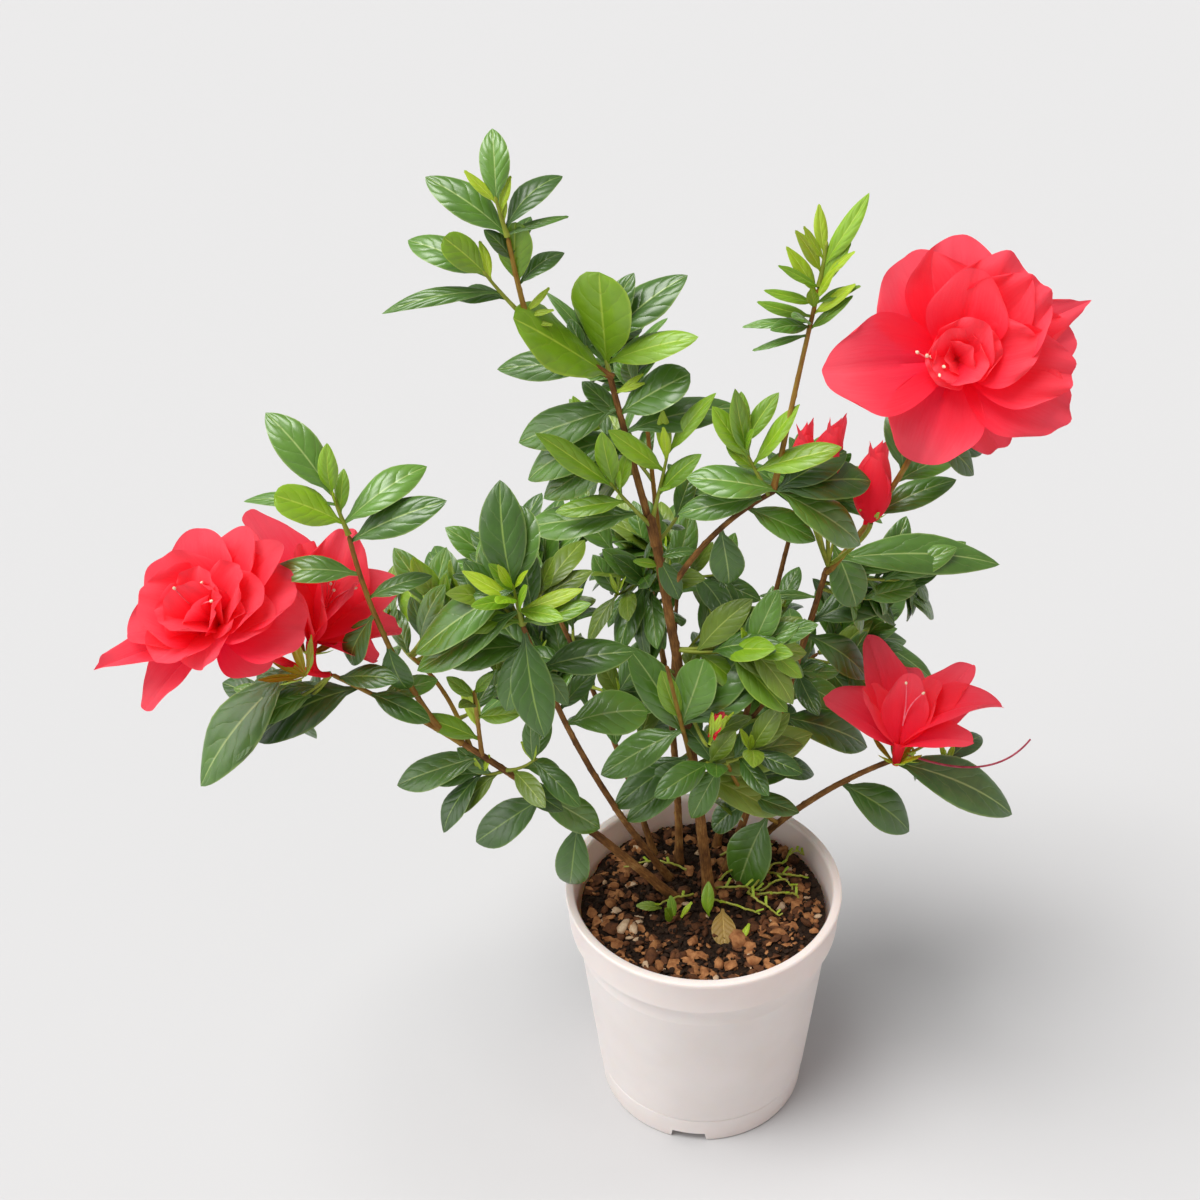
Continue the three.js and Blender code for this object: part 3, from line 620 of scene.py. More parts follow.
# %% Posed sprays
SPRAYS = [
    ("top_shoot", 0.2, 1, (190, 75, 11), [
        (1, 105, 75, 25, "G"), (0.75, 25, 50, 28, "D"), (0.7, 160, 40, 34, "G"), (0.2, 15, 40, 20, "G"),
        (0.7, 10, 20, 22, "N"), (1, 170, 50, 15, "L"), (0.8, 105, 80, 13, "L"), (0.2, 240, 85, 23, "Y"),
        (0.9, 40, 70, 13, "L"), (0.5, 60, 40, 18, "G"), (0.45, 200, 60, 15, "D")]),
    ("top_shoot", 0, 0, (205, 50, 22), [
        (1, 170, 35, 31, "G"), (1, 200, 54, 21, "Y"), (0.65, 190, 2, 42, "N"), (0.5, 170, 10, 20, "D"),
        (0.9, 120, 60, 14, "L")]),
    ("top_shoot", 0, 0.1, None, [(0.5, 0, 15, 10, "L"), (1, 20, 40, 12, "L"), (0, 350, -10, 9, "L")]),
    ("leader", 0.45, 1, (180, 80, 10), [
        (0.75, 215, 41, 49, "Y"), (0.85, 260, 67, 41, "Y"), (1, 20, 70, 28, "G"), (1, 15, 40, 39, "G"),
        (0.85, 345, 29, 36, "B"), (0.45, 345, 42, 31, "R"), (0.85, 180, 0, 41, "S"),
        (0.8, 150, 55, 36, "N"), (0.4, 160, 50, 21, "G"), (0.5, 185, -15, 41, "G"),
        (0.25, 185, -10, 43, "G"), (0.3, 5, 20, 44, "S"), (0.95, 300, 70, 13, "L"), (0.6, 5, 35, 13, "L"),
        (0.62, 350, 20, 12, "L"), (0.35, 200, -45, 18, "G"), (0.2, 185, -30, 40, "G")]),
    ("main_stem", 0.97, 0.97, (200, 50, 24), [
        (1, 190, 41, 37, "T"), (1, 230, 80, 24, "B"), (0.85, 35, 80, 17, "B"), (0.65, 185, 2, 27, "B"),
        (0.35, 175, -5, 45, "G"), (0.8, 260, 60, 16, "B")]),
    ("main_stem", 0.98, 0.98, (20, 75, 26), [
        (0.75, 195, 47, 28, "B"), (0.9, 100, 85, 20, "L"), (1, 345, 57, 31, "T"), (0.4, 350, 55, 24, "B"),
        (0.9, 250, 75, 16, "L"), (0.5, 280, 30, 12, "B")]),
    ("main_stem", 0.88, 0.9, None, [(1, 320, -60, 20, "D"), (1, 0, 20, 15, "G"), (0, 200, 30, 12, "B")]),
    ("spike", 0.55, 1, (30, 80, 12), [
        (0.86, 350, 65, 30, "T"), (0.92, 200, 57, 15, "L"), (0.82, 205, 62, 20, "L"),
        (0.95, 120, 72, 17, "L"), (0.76, 335, 50, 17, "L"), (0.72, 200, 35, 18, "T"),
        (0.7, 345, 62, 20, "T"), (0.66, 160, 60, 20, "L"), (0.6, 195, 25, 20, "T"),
        (0.6, 345, 30, 17, "T"), (0.52, 335, 42, 19, "L"), (0.5, 180, 18, 20, "T"),
        (0.46, 190, 6, 24, "N"), (0.36, 187, -6, 20, "N"), (0.4, 340, 48, 20, "T"),
        (0.45, 240, 35, 17, "G"), (0.56, 260, 50, 17, "T"), (0.42, 215, 20, 17, "G"),
        (0.62, 300, 60, 18, "L"), (0.8, 20, 55, 15, "L")]),
    ("right_bough", 0.95, 0.95, (170, 60, 20), [
        (0.75, 215, 76, 30, "T"), (1, 120, 78, 20, "B"), (0.6, 345, 58, 30, "T"), (1, 15, 55, 23, "B"),
        (0.75, 190, 60, 25, "B"), (0.5, 185, 50, 15, "B"), (0.5, 345, 28, 33, "B"),
        (0.9, 270, 60, 15, "B")]),
    ("right_bough", 0.6, 1, None, [
        (1, 185, 20, 34, "G"), (0.8, 187, -5, 33, "S"), (1, 5, 10, 40, "D"), (1, 10, 35, 31, "D"),
        (1, 355, -30, 43, "G"), (0.5, 350, -25, 30, "G"), (0, 300, -78, 25, "R")]),
    ("right_stem", 0.3, 1, (60, 60, 8), [
        (1, 315, -55, 28, "R"), (0.7, 10, 20, 44, "D"), (0.95, 0, 0, 72, "W"), (0.65, 350, -30, 36, "D"),
        (0.8, 180, 10, 24, "N"), (0.3, 355, -15, 46, "G"), (0.05, 5, 0, 28, "D"), (0.15, 60, 25, 30, "D"),
        (0.55, 100, 25, 28, "G")]),
    ("bloom_stalk", 0.3, 0.95, None, [
        (0.15, 10, 30, 36, "S"), (0.8, 5, 5, 30, "D"), (0.95, 350, -35, 28, "D"), (0.6, 110, 80, 27, "D"),
        (0.5, 30, 15, 34, "S")]),
    ("low_right_stem", 0.6, 1, (10, 15, 14), [
        (0.7, 355, -20, 66, "S"), (0.2, 350, -35, 44, "D"), (0.9, 130, 50, 16, "L")]),
    ("mid_left_stem", 0.6, 1, (170, 80, 14), [
        (1, 75, 70, 30, "R"), (0.9, 280, 60, 20, "B"), (0.95, 175, 30, 22, "L"), (0.85, 182, 5, 26, "B"),
        (0.9, 355, 20, 25, "L"), (0.85, 350, 22, 27, "B"), (1, 185, -25, 45, "G"),
        (0.9, 185, -27, 47, "S"), (0.75, 220, -60, 33, "D"), (0.7, 180, -5, 37, "G"),
        (0.55, 5, 15, 36, "G"), (0.55, 340, -50, 19, "D"), (0.15, 5, 10, 33, "R"),
        (0.25, 20, 45, 21, "D"), (1, 140, 80, 40, "D"), (0.8, 285, -60, 42, "D"), (1, 230, 60, 15, "L"),
        (1, 310, 55, 15, "L"), (0.95, 250, 35, 18, "B"), (0.98, 200, 60, 16, "B"),
        (0.95, 215, 20, 20, "B"), (0.9, 320, 15, 20, "B")]),
    ("left_stem", 0.5, 1, None, [
        (0.4, 350, -30, 37, "G"), (0.3, 185, -30, 40, "D"), (0, 235, -68, 40, "D"),
        (0.8, 182, -15, 40, "G"), (0.55, 330, -20, 24, "D")]),
    ("low_left_shoot", 0, 1, None, [
        (0.4, 190, 78, 25, "L"), (0.25, 178, 35, 25, "B"), (0.9, 200, 50, 15, "B"),
        (0.95, 330, 60, 14, "B"), (0.6, 340, 20, 20, "B"), (0.75, 250, 50, 15, "O")]),
    ("front_shoot", 0, 1, None, [
        (0, 190, -30, 37, "G"), (0.4, 187, -20, 40, "G"), (0.35, 170, 62, 45, "S"),
        (0.5, 200, 72, 26, "B"), (0.45, 15, 52, 48, "G"), (0.45, 5, 42, 42, "D"),
        (0.45, 340, 78, 33, "R"), (0, 355, -25, 45, "O"), (0.15, 190, -25, 40, "D"),
        (0.05, 0, 15, 52, "O")]),
    ("low_right_shoot", 0, 1, None, [
        (0.45, 190, -32, 22, "R"), (0.15, 210, -58, 36, "R"), (0.6, 340, -10, 26, "G"),
        (0.8, 20, 30, 26, "O")]),
    ("left_upright", 0.4, 1, (150, 70, 14), [
        (1, 165, 58, 37, "G"), (1, 250, 80, 21, "B"), (0.85, 200, 42, 28, "Y"), (0.85, 15, 35, 36, "G"),
        (0.75, 0, 30, 38, "S"), (0.95, 175, 5, 35, "N"), (0.55, 178, 12, 34, "S"), (0.4, 5, 30, 25, "S"),
        (0.3, 205, -50, 27, "D"), (0.1, 300, -68, 24, "D"), (0.9, 60, 70, 16, "B"),
        (0.95, 270, 60, 10, "L")]),
    ("left_flower_stalk", 0.5, 1, (190, 10, 14), [
        (1, 195, -43, 64, "S"), (0.4, 187, -15, 48, "D"), (0.9, 185, -12, 26, "D"),
        (0.6, 330, 20, 26, "D"), (0.3, 340, -10, 26, "G"), (0.2, 20, 10, 24, "G")]),
]


def along(path, share):
    """The point at a share of a path's length, and the direction of the path there."""
    far = travelled(path)
    at = share * far[-1]
    here = np.array([np.interp(at, far, path[:, c]) for c in range(3)])
    k = min(int(np.searchsorted(far, at)), len(path) - 1)
    return here, unit(path[k] - path[max(k - 1, 0)]) if k else unit(path[1] - path[0])


def twig(path, thick):
    """Adds a green twig that thins out and ends in a small pointed bud."""
    radius = np.linspace(thick, 0.55, len(path)) * (1 + 0.3 * np.exp(-travelled(path) / 2))
    radius = np.r_[radius, radius[-1] * 1.2, radius[-1] * 1.1, 0.01]
    end = unit(path[-1] - path[-2])
    bud = path[-1] + end * np.array([[0.6], [1.6], [2.6]])
    tube("green_wood", np.vstack([path, bud]), radius, 7)


posed = 0
for name, first, last, fresh, rows in SPRAYS:
    path = np.array([along(paths[name], first + (last - first) * k / 15)[0] for k in range(16)])
    if last == first:
        path = path[:1]
    if fresh:
        azimuth, rise, length = fresh
        grown = path[-1] + heading(azimuth, rise) * length * np.linspace(0, 1, 10)[:, None]
        grown[:, 2] += 0.12 * length * np.linspace(0, 1, 10) ** 2
        twig(grown, 0.95)
        path = np.vstack([path, grown[1:]])
    for share, azimuth, rise, length, kind in rows:
        leaf(along(path, share)[0], azimuth, rise, length, kind)
    posed += len(rows)
print("posed sprays:", len(SPRAYS), "with", posed, "leaves")

# %% [markdown]
# ## Shoots that fill the crown
# The rest of the crown grows by a rule. A shoot starts on the nearest limb, bends up towards a seeded
# spot in its mass, sets leaves round itself by the golden angle, and ends in a whorl of two to four.
# Masses behind get most of these; the ones in front leave the posed sprays their air and their gaps.
# The limbs at the back get rows of shoots too, so that the plant is full from there.

# %% Rule-grown shoots
FOLIAGE = {
    # mass: shoots, leaves along each, leaf length in mm, kinds, share of its depth kept free in front
    "upper_leaves": (1, 2, 20, "GD", 0.7),
    "outer_leaves": (2, 2, 24, "GD", 0.6),
    "left_middle_leaves": (4, 3, 29, "GGBD", 0.3),
    "bright_leaves": (3, 3, 28, "GGO", 0.6),
    "low_left_leaves": (2, 2, 26, "GDO", 0.65),
    "front_leaves": (2, 3, 28, "GDO", 0.6),
    "right_middle_leaves": (3, 3, 28, "GOB", 0.3),
    "right_leaves": (3, 3, 29, "GD", 0.4),
    "low_right_leaves": (1, 2, 25, "GD", 0.6),
    "middle_leaves": (3, 3, 28, "GGOB", 0.2),
    "inner_leaves": (3, 3, 28, "GGGO", 0.1),
    "back_top_leaves": (4, 3, 24, "GGGS", 0),
    "back_left_leaves": (6, 4, 33, "GGGD", 0),
    "back_right_leaves": (4, 4, 30, "GGGD", 0),
    "back_middle_leaves": (7, 4, 33, "GGGO", 0),
    "back_low_leaves": (5, 4, 32, "GGD", 0),
    "back_low_left_leaves": (5, 4, 32, "GGD", 0),
}
BACK_SHOOTS = {
    # limb: place of the first and the last shoot as shares of it, how many shoots, leaf length in mm
    "back_stem": (0.35, 0.98, 5, 28), "back_left_stem": (0.35, 0.95, 5, 28),
    "back_right_stem": (0.3, 0.62, 4, 27), "back_bough": (0.3, 0.9, 3, 27),
    "back_low_bough": (0.3, 0.9, 3, 27), "back_leader": (0.3, 0.6, 2, 22),
    "main_stem": (0.25, 0.45, 2, 25), "left_second": (0.3, 0.9, 2, 26),
}
every_limb = np.vstack([path[10:] for path in paths.values()])


def shoot(start, end, leaves, length, kinds, outward):
    """Grows one shoot with its leaves. Outward is the way the leaves' faces lean from upright."""
    span = np.linalg.norm(end - start)
    middle = (start + end) / 2 + np.array([0, 0, -0.16 * span]) + chance.normal(0, 0.06 * span, 3)
    path = curve(start, middle, end, max(6, int(span / 3)))
    twig(path, 0.8)
    face = unit(TO_LIGHT + (0.2 + 0.5 * max(outward[1], 0)) * outward)
    first = chance.uniform(0, 360)
    whorl = int(chance.integers(2, 5))
    for k in range(leaves + whorl):
        share = 0.3 + 0.6 * k / leaves if k < leaves else 1
        here, ahead = along(path, share)
        turned = first + GOLDEN_ANGLE * k
        side = unit(np.cross(ahead, heading(turned, 0) + 0.01))
        rise = chance.uniform(25, 60) if k < leaves else chance.uniform(15, 65)
        lean = unit(side * math.cos(math.radians(rise)) + ahead * math.sin(math.radians(rise)))
        lean = unit(lean + 0.25 * outward)
        size = length * chance.uniform(0.7, 1.2) * (1 if k < leaves else 0.95)
        kind = kinds[int(chance.integers(len(kinds)))]
        leaf(here, *bearings(lean), size, kind, face)
    if chance.random() < 0.5:
        for k in range(3):
            leaf(path[-1], first + 120 * k, 70, length * 0.4, "L", face)


def nearest_limb(point):
    """The place on any limb closest to a point, if it isn't right beside it."""
    gaps = np.linalg.norm(every_limb - point, axis=1)
    gaps[gaps < 9] += 40
    return every_limb[int(gaps.argmin())]


def leaf_count():
    """How many leaves there are so far."""
    return sum(len(heaps[heap]) for heap in heaps if heap.startswith("leaf"))


before = leaf_count()
for mass, (shoots, leaves, length, kinds, free) in FOLIAGE.items():
    low, high = (np.array(corner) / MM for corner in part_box(mass))
    low[1] += (high[1] - low[1]) * free
    centre = (low + high) / 2
    reach = (high - low) / 2
    inset = np.clip(1 - 0.75 * length / reach, 0.25, 0.8)
    for _ in range(shoots):
        spot = chance.normal(size=3)
        spot = centre + unit(spot) * chance.random() ** 0.33 * reach * inset
        outward = unit((spot - (0, 10, spot[2])) * (1, 1, 0))
        shoot(nearest_limb(spot), spot, leaves, length, kinds, outward)
for name, (first, last, count, length) in BACK_SHOOTS.items():
    for k in range(count):
        here, ahead = along(paths[name], first + (last - first) * k / max(count - 1, 1))
        outward = unit(heading(GOLDEN_ANGLE * k, 0) + np.array([0, 0.9, 0]))
        way = unit(outward + 0.4 * ahead + chance.normal(0, 0.15, 3))
        shoot(here, here + way * chance.uniform(16, 30), 3, length, "GGGO", outward)
print("rule-grown leaves:", leaf_count() - before, "of", leaf_count())

# %% [markdown]
# ## Petals
# A double azalea bloom is rows of petals round one axis: the outer ones lie open and curl back, the
# inner ones stand up and crowd the middle, and all have a soft waved edge. One petal is a grid bent
# along an arc, from how steeply it leaves the throat to how far it curls back, with a cupped width and
# a ruffle that grows towards its rim.

# %% The petal pattern
PETAL_SIDE = 18
petal_grid, petal_faces = pattern(
    bpy.ops.mesh.primitive_grid_add, x_subdivisions=PETAL_SIDE, y_subdivisions=PETAL_SIDE, size=2)
PETAL_U = petal_grid[:, 0]
PETAL_V = (petal_grid[:, 1] + 1) / 2
PETAL_MAP = np.stack([PETAL_U / 2 + 0.5, PETAL_V], 1)[petal_faces]
WIDEST = 0.66
ARC_REACH = 1.2
ARC_STEPS = 72


def petal(base, tip_way, axis, length, width, curl, cup, ruffle, pointed=0):
    """Adds a petal from base towards tip_way, its inner face turned to axis. Curl is in degrees."""
    d, axis = unit(tip_way), unit(axis)
    out = unit(axis - (axis @ d) * d) if abs(axis @ d) < 0.995 else unit(np.cross(d, (0.3, 1, 0.2)))
    across = np.cross(d, out)
    u, v = PETAL_U, PETAL_V
    phase = chance.uniform(0, 2 * math.pi)
    waves = chance.integers(1, 4)
    opening = np.sin(np.clip(v / WIDEST, 0, 1) * math.pi / 2) ** 0.85
    closing = 1 - (0.24 + 0.5 * pointed) * np.clip((v - WIDEST) / (1 - WIDEST), 0, 1) ** 1.6
    half = np.maximum(opening * closing, 0.07) * width / 2
    tip = 0.16 * pointed * np.exp(-((u / 0.15) ** 2)) * v**6
    s = v * (1 - (0.24 + 0.1 * pointed) * np.abs(u) ** 2.4 * v)
    s = s * (1 + 0.012 * np.sin(2 * waves * u + phase) * v**3 + tip)
    steps = np.linspace(0, ARC_REACH, ARC_STEPS + 1)
    turn_at = math.radians(curl) * (0.5 - steps)
    run, lift = (
        np.r_[0, np.cumsum(way(turn_at[:-1]))] * ARC_REACH / ARC_STEPS for way in (np.cos, np.sin))
    bend = math.radians(curl) * (0.5 - s)
    rim = v**2 * (0.35 + 0.65 * np.abs(u) ** 1.5) + 0.5 * v**5
    small = 0.6 * np.sin(2.3 * waves * u + 2 * phase + 3 * v)
    wave = ruffle * rim * (np.sin(waves * math.pi * u + phase) + small)
    wave = wave + ruffle * 0.9 * np.abs(u) ** 3 * np.sin(7 * v + phase + 2 * u) * v
    crease = -0.035 * np.exp(-((u / 0.10) ** 2)) * (1 - 0.6 * v)
    height = cup * half / length * u**2 + wave + crease
    y = np.interp(s, steps, run) - np.sin(bend) * height
    z = np.interp(s, steps, lift) + np.cos(bend) * height
    points = (u * half)[:, None] * across + (length * y)[:, None] * d + (length * z)[:, None] * out
    add_shape("petal", np.asarray(base) + points, petal_faces, PETAL_MAP)


def clock(facing, turn, lean):
    """A way round facing: turn in degrees from its right hand, then lean towards it."""
    right = unit(np.cross((0, 0, 1), facing))
    above = np.cross(facing, right)
    turn, lean = math.radians(turn), math.radians(lean)
    return math.cos(lean) * (math.cos(turn) * right + math.sin(turn) * above) + math.sin(lean) * facing


def bloom(centre, facing, axis, rows):
    """Sets petals one by one round facing, their inner faces turned to axis."""
    for turn, lean, length, width, curl, pointed, behind, ruffle in rows:
        foot = np.asarray(centre) - facing * behind
        petal(foot, clock(facing, turn, lean), axis, length, width, curl, 0.3, ruffle, pointed)


def stamens(centre, axis, count, length, lean):
    """Thin threads with a small anther at the end, up to lean degrees off the axis."""
    for _ in range(count):
        side = unit(np.cross(axis, chance.normal(size=3)))
        tip = unit(axis + math.tan(math.radians(chance.uniform(4, lean))) * side)
        reach = length * chance.uniform(0.75, 1.1)
        path = curve(centre, np.asarray(centre) + axis * reach * 0.6, np.asarray(centre) + tip * reach, 10)
        tube("filament", path, np.linspace(0.35, 0.22, 10), 5)
        bead = path[-1] + unit(path[-1] - path[-2]) * np.linspace(-0.9, 0.9, 5)[:, None]
        tube("anther", bead, [0.02, 0.5, 0.62, 0.5, 0.02], 6)


def calyx(base, axis, size=1.0):
    """Yellow-green sepals and bracts behind a flower."""
    for k in range(6):
        side = unit(np.cross(axis, heading(60 * k, 20)))
        way = unit(axis * 0.8 + side)
        leaf(base, *bearings(way), chance.uniform(9, 14) * size, "L", way - axis)


print("petal pattern:", len(petal_faces), "faces")

# %% [markdown]
# ## The blooms
# The largest bloom faces forward on the right. Its big outer petals are set one by one, since each
# lies its own way; those of the middle are smaller, steeper and more ruffled, with a few stamens among
# them. The other blooms are made in the same manner, seen from the side or half open.

# %% The large bloom
large_axis = heading(-100, 28)
large = np.array([82, -24, 373])
bloom(large, large_axis, large_axis, [
    # turn, lean, length, width, curl, how pointed, how far behind the middle, ruffle
    (187, 4, 45, 35, 35, 0.15, 0, 0.02), (120, 4, 40, 36, 35, 0, 4, 0.02),
    (93, 6, 42, 35, 30, 0, 5, 0.025), (254, 2, 38, 33, 40, 0.05, 2, 0.03),
    (334, 4, 43, 31, 35, 0.05, 1, 0.035), (355, 9, 40, 28, 40, 0, -1, 0.03),
    (14, 0, 41, 29, 30, 0, 8, 0.02), (27, 0, 46, 23, 20, 0.5, 6, 0.02), (64, 12, 40, 31, 45, 0, 1, 0.05),
    (44, 14, 39, 31, 45, 0, 0, 0.05), (82, 24, 33, 27, 50, 0, -1, 0.04),
    (12, 24, 30, 24, 45, 0, -2, 0.04), (300, 2, 35, 25, 40, 0, 9, 0.02),
    (60, 45, 21, 21, 50, 0, -2, 0.05), (25, 40, 20, 20, 50, 0, -1, 0.05),
    (105, 50, 16, 17, 30, 0, -3, 0.04), (222, 48, 13, 16, 35, 0, -3, 0.04),
    (335, 50, 16, 17, 30, 0, -3, 0.04), (40, 62, 12, 13, 20, 0, -4, 0.05),
    (200, 64, 9, 11, 15, 0, -4, 0.05), (205, 34, 13, 20, 60, 0, -1, 0.08),
    (170, 40, 13, 15, 60, 0, 0, 0.08),
])
stamens(large + clock(large_axis, 186, 0) * 8, large_axis, 7, 12, 34)
calyx(large - large_axis * 12, large_axis)
stalk = curve(paths["bloom_stalk"][-1], large - large_axis * 20, large - large_axis * 3, 12)
tube("green_wood", stalk, 1.1, 8)
print("petals so far:", len(heaps["petal"]))

# %% The two left blooms
left_facing = heading(-76, 34)
outer = np.array([-177, -43, 287])
outer_axis = clock(left_facing, 135, 48)
bloom(outer, left_facing, outer_axis, [
    (189, 0, 44, 17, 10, 0.4, 2, 0.02), (219, -5, 40, 19, 25, 0, 4, 0.02),
    (174, 5, 33, 25, 30, 0, 3, 0.03), (152, 15, 31, 32, 45, 0, 0, 0.03),
    (120, 10, 33, 32, 40, 0, 3, 0.03), (90, 5, 36, 30, 40, 0, 5, 0.03),
    (64, 8, 37, 28, 40, 0.05, 3, 0.03), (44, 12, 38, 26, 40, 0, 1, 0.03),
    (20, 15, 33, 34, 50, 0, -1, 0.02), (348, 10, 32, 36, 50, 0, -2, 0.02),
    (315, 5, 24, 26, 50, 0, 0, 0.02), (200, 24, 28, 28, 40, 0, -1, 0.03),
    (60, 35, 27, 26, 45, 0, -3, 0.04), (95, 35, 26, 26, 45, 0, -3, 0.04),
    (130, 38, 26, 26, 45, 0, -3, 0.04), (165, 35, 26, 26, 45, 0, -3, 0.04),
    (30, 36, 26, 26, 45, 0, -4, 0.04), (0, 36, 25, 24, 45, 0, -4, 0.03),
    (80, 60, 22, 20, 40, 0, -5, 0.05), (140, 60, 20, 20, 40, 0, -5, 0.05),
    (20, 60, 20, 18, 40, 0, -5, 0.05), (240, 40, 22, 22, 45, 0, -4, 0.04),
])
stamens(outer + outer_axis * 6, outer_axis, 3, 22, 40)

inner = np.array([-148, -28, 268])
inner_axis = clock(left_facing, 60, 30)
bloom(inner, left_facing, inner_axis, [
    (0, -5, 34, 28, 30, 0, 2, 0.02), (27, 0, 40, 32, 35, 0, 0, 0.02), (62, 0, 45, 26, 30, 0.1, 3, 0.03),
    (85, 5, 38, 26, 35, 0, 4, 0.03), (106, 0, 54, 33, 25, 0, 5, 0.02), (122, 5, 36, 28, 30, 0, 3, 0.03),
    (335, 0, 26, 22, 40, 0, 2, 0.02), (45, 25, 32, 26, 40, 0, -2, 0.03),
    (75, 28, 30, 26, 40, 0, -2, 0.03), (105, 25, 30, 26, 40, 0, -2, 0.03),
])
stamens(inner + inner_axis * 10, inner_axis, 5, 20, 30)
calyx(inner - inner_axis * 6, inner_axis, 1.2)
calyx(np.array([-149, -42, 263]), heading(200, 60), 1.3)
for far_end in (outer, inner):
    stalk = curve(paths["left_flower_stalk"][-1], (-150, -38, 258), far_end, 14)
    tube("petal", stalk, np.linspace(1.0, 2.2, 14), 8, 0.5, 40)
print("petals so far:", len(heaps["petal"]))

# %% The low bloom and the buds
low_facing = heading(-102, 38)
low = np.array([80, 0, 186])
low_axis = clock(low_facing, 85, 40)
bloom(low, low_facing, low_axis, [
    (110, 5, 48, 21, 20, 0.1, 2, 0.02), (151, 5, 37, 27, 35, 0.2, 1, 0.03),
    (86, 20, 33, 19, 35, 0, -2, 0.05), (54, 2, 46, 20, 20, 0, 2, 0.02), (27, 4, 52, 20, 95, 0, 0, 0.02),
    (10, 10, 32, 18, 55, 0, -2, 0.02), (125, 15, 30, 19, 30, 0, 0, 0.03),
    (66, 12, 33, 19, 30, 0, 0, 0.03), (90, -20, 38, 22, 40, 0, 5, 0.02),
    (40, -12, 38, 22, 40, 0, 4, 0.02),
])
throat = curve(low - low_axis * 9, low - low_axis * 3, low + low_axis * 4, 8)
tube("petal", throat, np.linspace(1.6, 3.0, 8), 10, 0.4, 30)
stamens(low + low_axis * 12, low_axis, 2, 22, 20)
tube("pistil", curve((84, 3, 180), (118, -10, 172), (132, -6, 193), 26), np.linspace(0.55, 0.4, 26), 6)
calyx(low - low_axis * 9, low_axis, 1.2)
calyx(paths["low_right_stem"][-1], heading(20, 40), 1.1)
tube("green_wood", curve(paths["low_right_stem"][-1], (82, 4, 174), low - low_axis * 7, 10), 1.2, 8)

bud_facing = heading(-100, 32)
BUDS = [
    # foot, turn round its facing, length, thickness
    ((41, -1, 306), 77, 32, 6.0), ((38, 2, 305), 94, 29, 5.0), ((63, 6, 291), 86, 32, 7.0),
    ((45, 6, 298), 110, 22, 4.2),
]
BUD_RINGS = 34
BUD_SIDES = 48


def furled_bud(base, axis, length, thick):
    """A closed bud: petals wound round each other, each with its free edge standing a little proud."""
    bow = unit(np.cross(axis, (0.2, 1, 0.3))) * length * 0.08
    path = curve(base, base + axis * length * 0.5 + bow, base + axis * length, BUD_RINGS)
    share = np.linspace(0, 1, BUD_RINGS)[:, None]
    fullness = np.sin(math.pi * share**0.85) ** 0.7 * (1 - 0.25 * share) + 0.05
    wound = (3 * (np.arange(BUD_SIDES) / BUD_SIDES + 0.3 * share)) % 1
    step = 1 + 0.22 * wound * np.sin(math.pi * share)
    radii = thick * fullness * step * (1 - share**12)
    tube("petal", path, np.maximum(radii, 0.02), BUD_SIDES, chance.uniform(0.2, 0.6), length)
    for turn in (60, 200):
        side = clock(bud_facing, turn, 30)
        foot = base + side * thick * 0.4
        petal(foot, axis + 0.08 * side, -side, length * 0.95, thick * 2.2, 16, 0.5, 0.01, 0.4)
    calyx(base, axis, 0.7)


for base, turn, length, thick in BUDS:
    base, axis = np.array(base, float), clock(bud_facing, turn, 12)
    furled_bud(base, axis, length, thick)
    tube("green_wood", curve(paths["right_stem"][-1], base - axis * 6, base, 10), 0.9, 7)
print("petals in all:", len(heaps["petal"]))

# %% [markdown]
# ## The potting mix
# Azaleas are potted in dark, open compost with composted bark in it. A disc of dark crumb, raised and
# dented by layered waves, fills the pot up to where the CAD soil stops. Over it lie angular chips of
# bark, cut from a faceted ball that is flattened and knocked out of shape, from dark to pale.

# %% Dark crumb
soil_low, soil_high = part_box("soil")
SOIL_TOP = soil_high.z / MM
SOIL_GRID = 110
SOIL_DEPTH = 12
soil_radius = (soil_high.x - soil_low.x) / 2 / MM


def lumps(x, y):
    """The height of the mix over its level, in mm, at a place."""
    high = 0.9 * np.sin(0.11 * x + 0.7) * np.cos(0.13 * y) + 0.7 * np.sin(0.31 * x + 0.21 * y + 2)
    high = high + 0.5 * np.sin(0.83 * x - 0.47 * y) * np.cos(0.71 * y + 1)
    return high + 0.35 * np.sin(2.1 * x + 1.3 * np.sin(1.7 * y)) * np.sin(1.9 * y + 0.6)


bpy.ops.object.select_all(action="DESELECT")
bpy.ops.mesh.primitive_grid_add(x_subdivisions=SOIL_GRID, y_subdivisions=SOIL_GRID, size=2)
soil = bpy.context.object
soil.name = "potting_mix"
for vertex in soil.data.vertices:
    x, y = vertex.co.x, vertex.co.y
    # This bends a square into a disc.
    x, y = x * math.sqrt(1 - y * y / 2) * soil_radius, y * math.sqrt(1 - x * x / 2) * soil_radius
    top = SOIL_TOP - 1.6 + float(lumps(x, y)) + chance.uniform(-0.25, 0.25)
    vertex.co = (x * MM, y * MM, top * MM)
bpy.ops.object.mode_set(mode="EDIT")
bpy.ops.mesh.select_all(action="SELECT")
bpy.ops.mesh.extrude_region_move(TRANSFORM_OT_translate={"value": (0, 0, -SOIL_DEPTH * MM)})
bpy.ops.transform.resize(value=(0.97, 0.97, 0.1))
bpy.ops.mesh.select_all(action="SELECT")
bpy.ops.mesh.normals_make_consistent(inside=False)
bpy.ops.object.mode_set(mode="OBJECT")
print("potting mix:", len(soil.data.polygons), "faces, radius", round(soil_radius, 1), "mm")

# %% Bark chips
chip_points, chip_faces = pattern(bpy.ops.mesh.primitive_ico_sphere_add, subdivisions=1, radius=1)
chip_map = np.tile(np.array([[0, 0], [1, 0], [0.5, 1]]), (len(chip_faces), 1, 1))


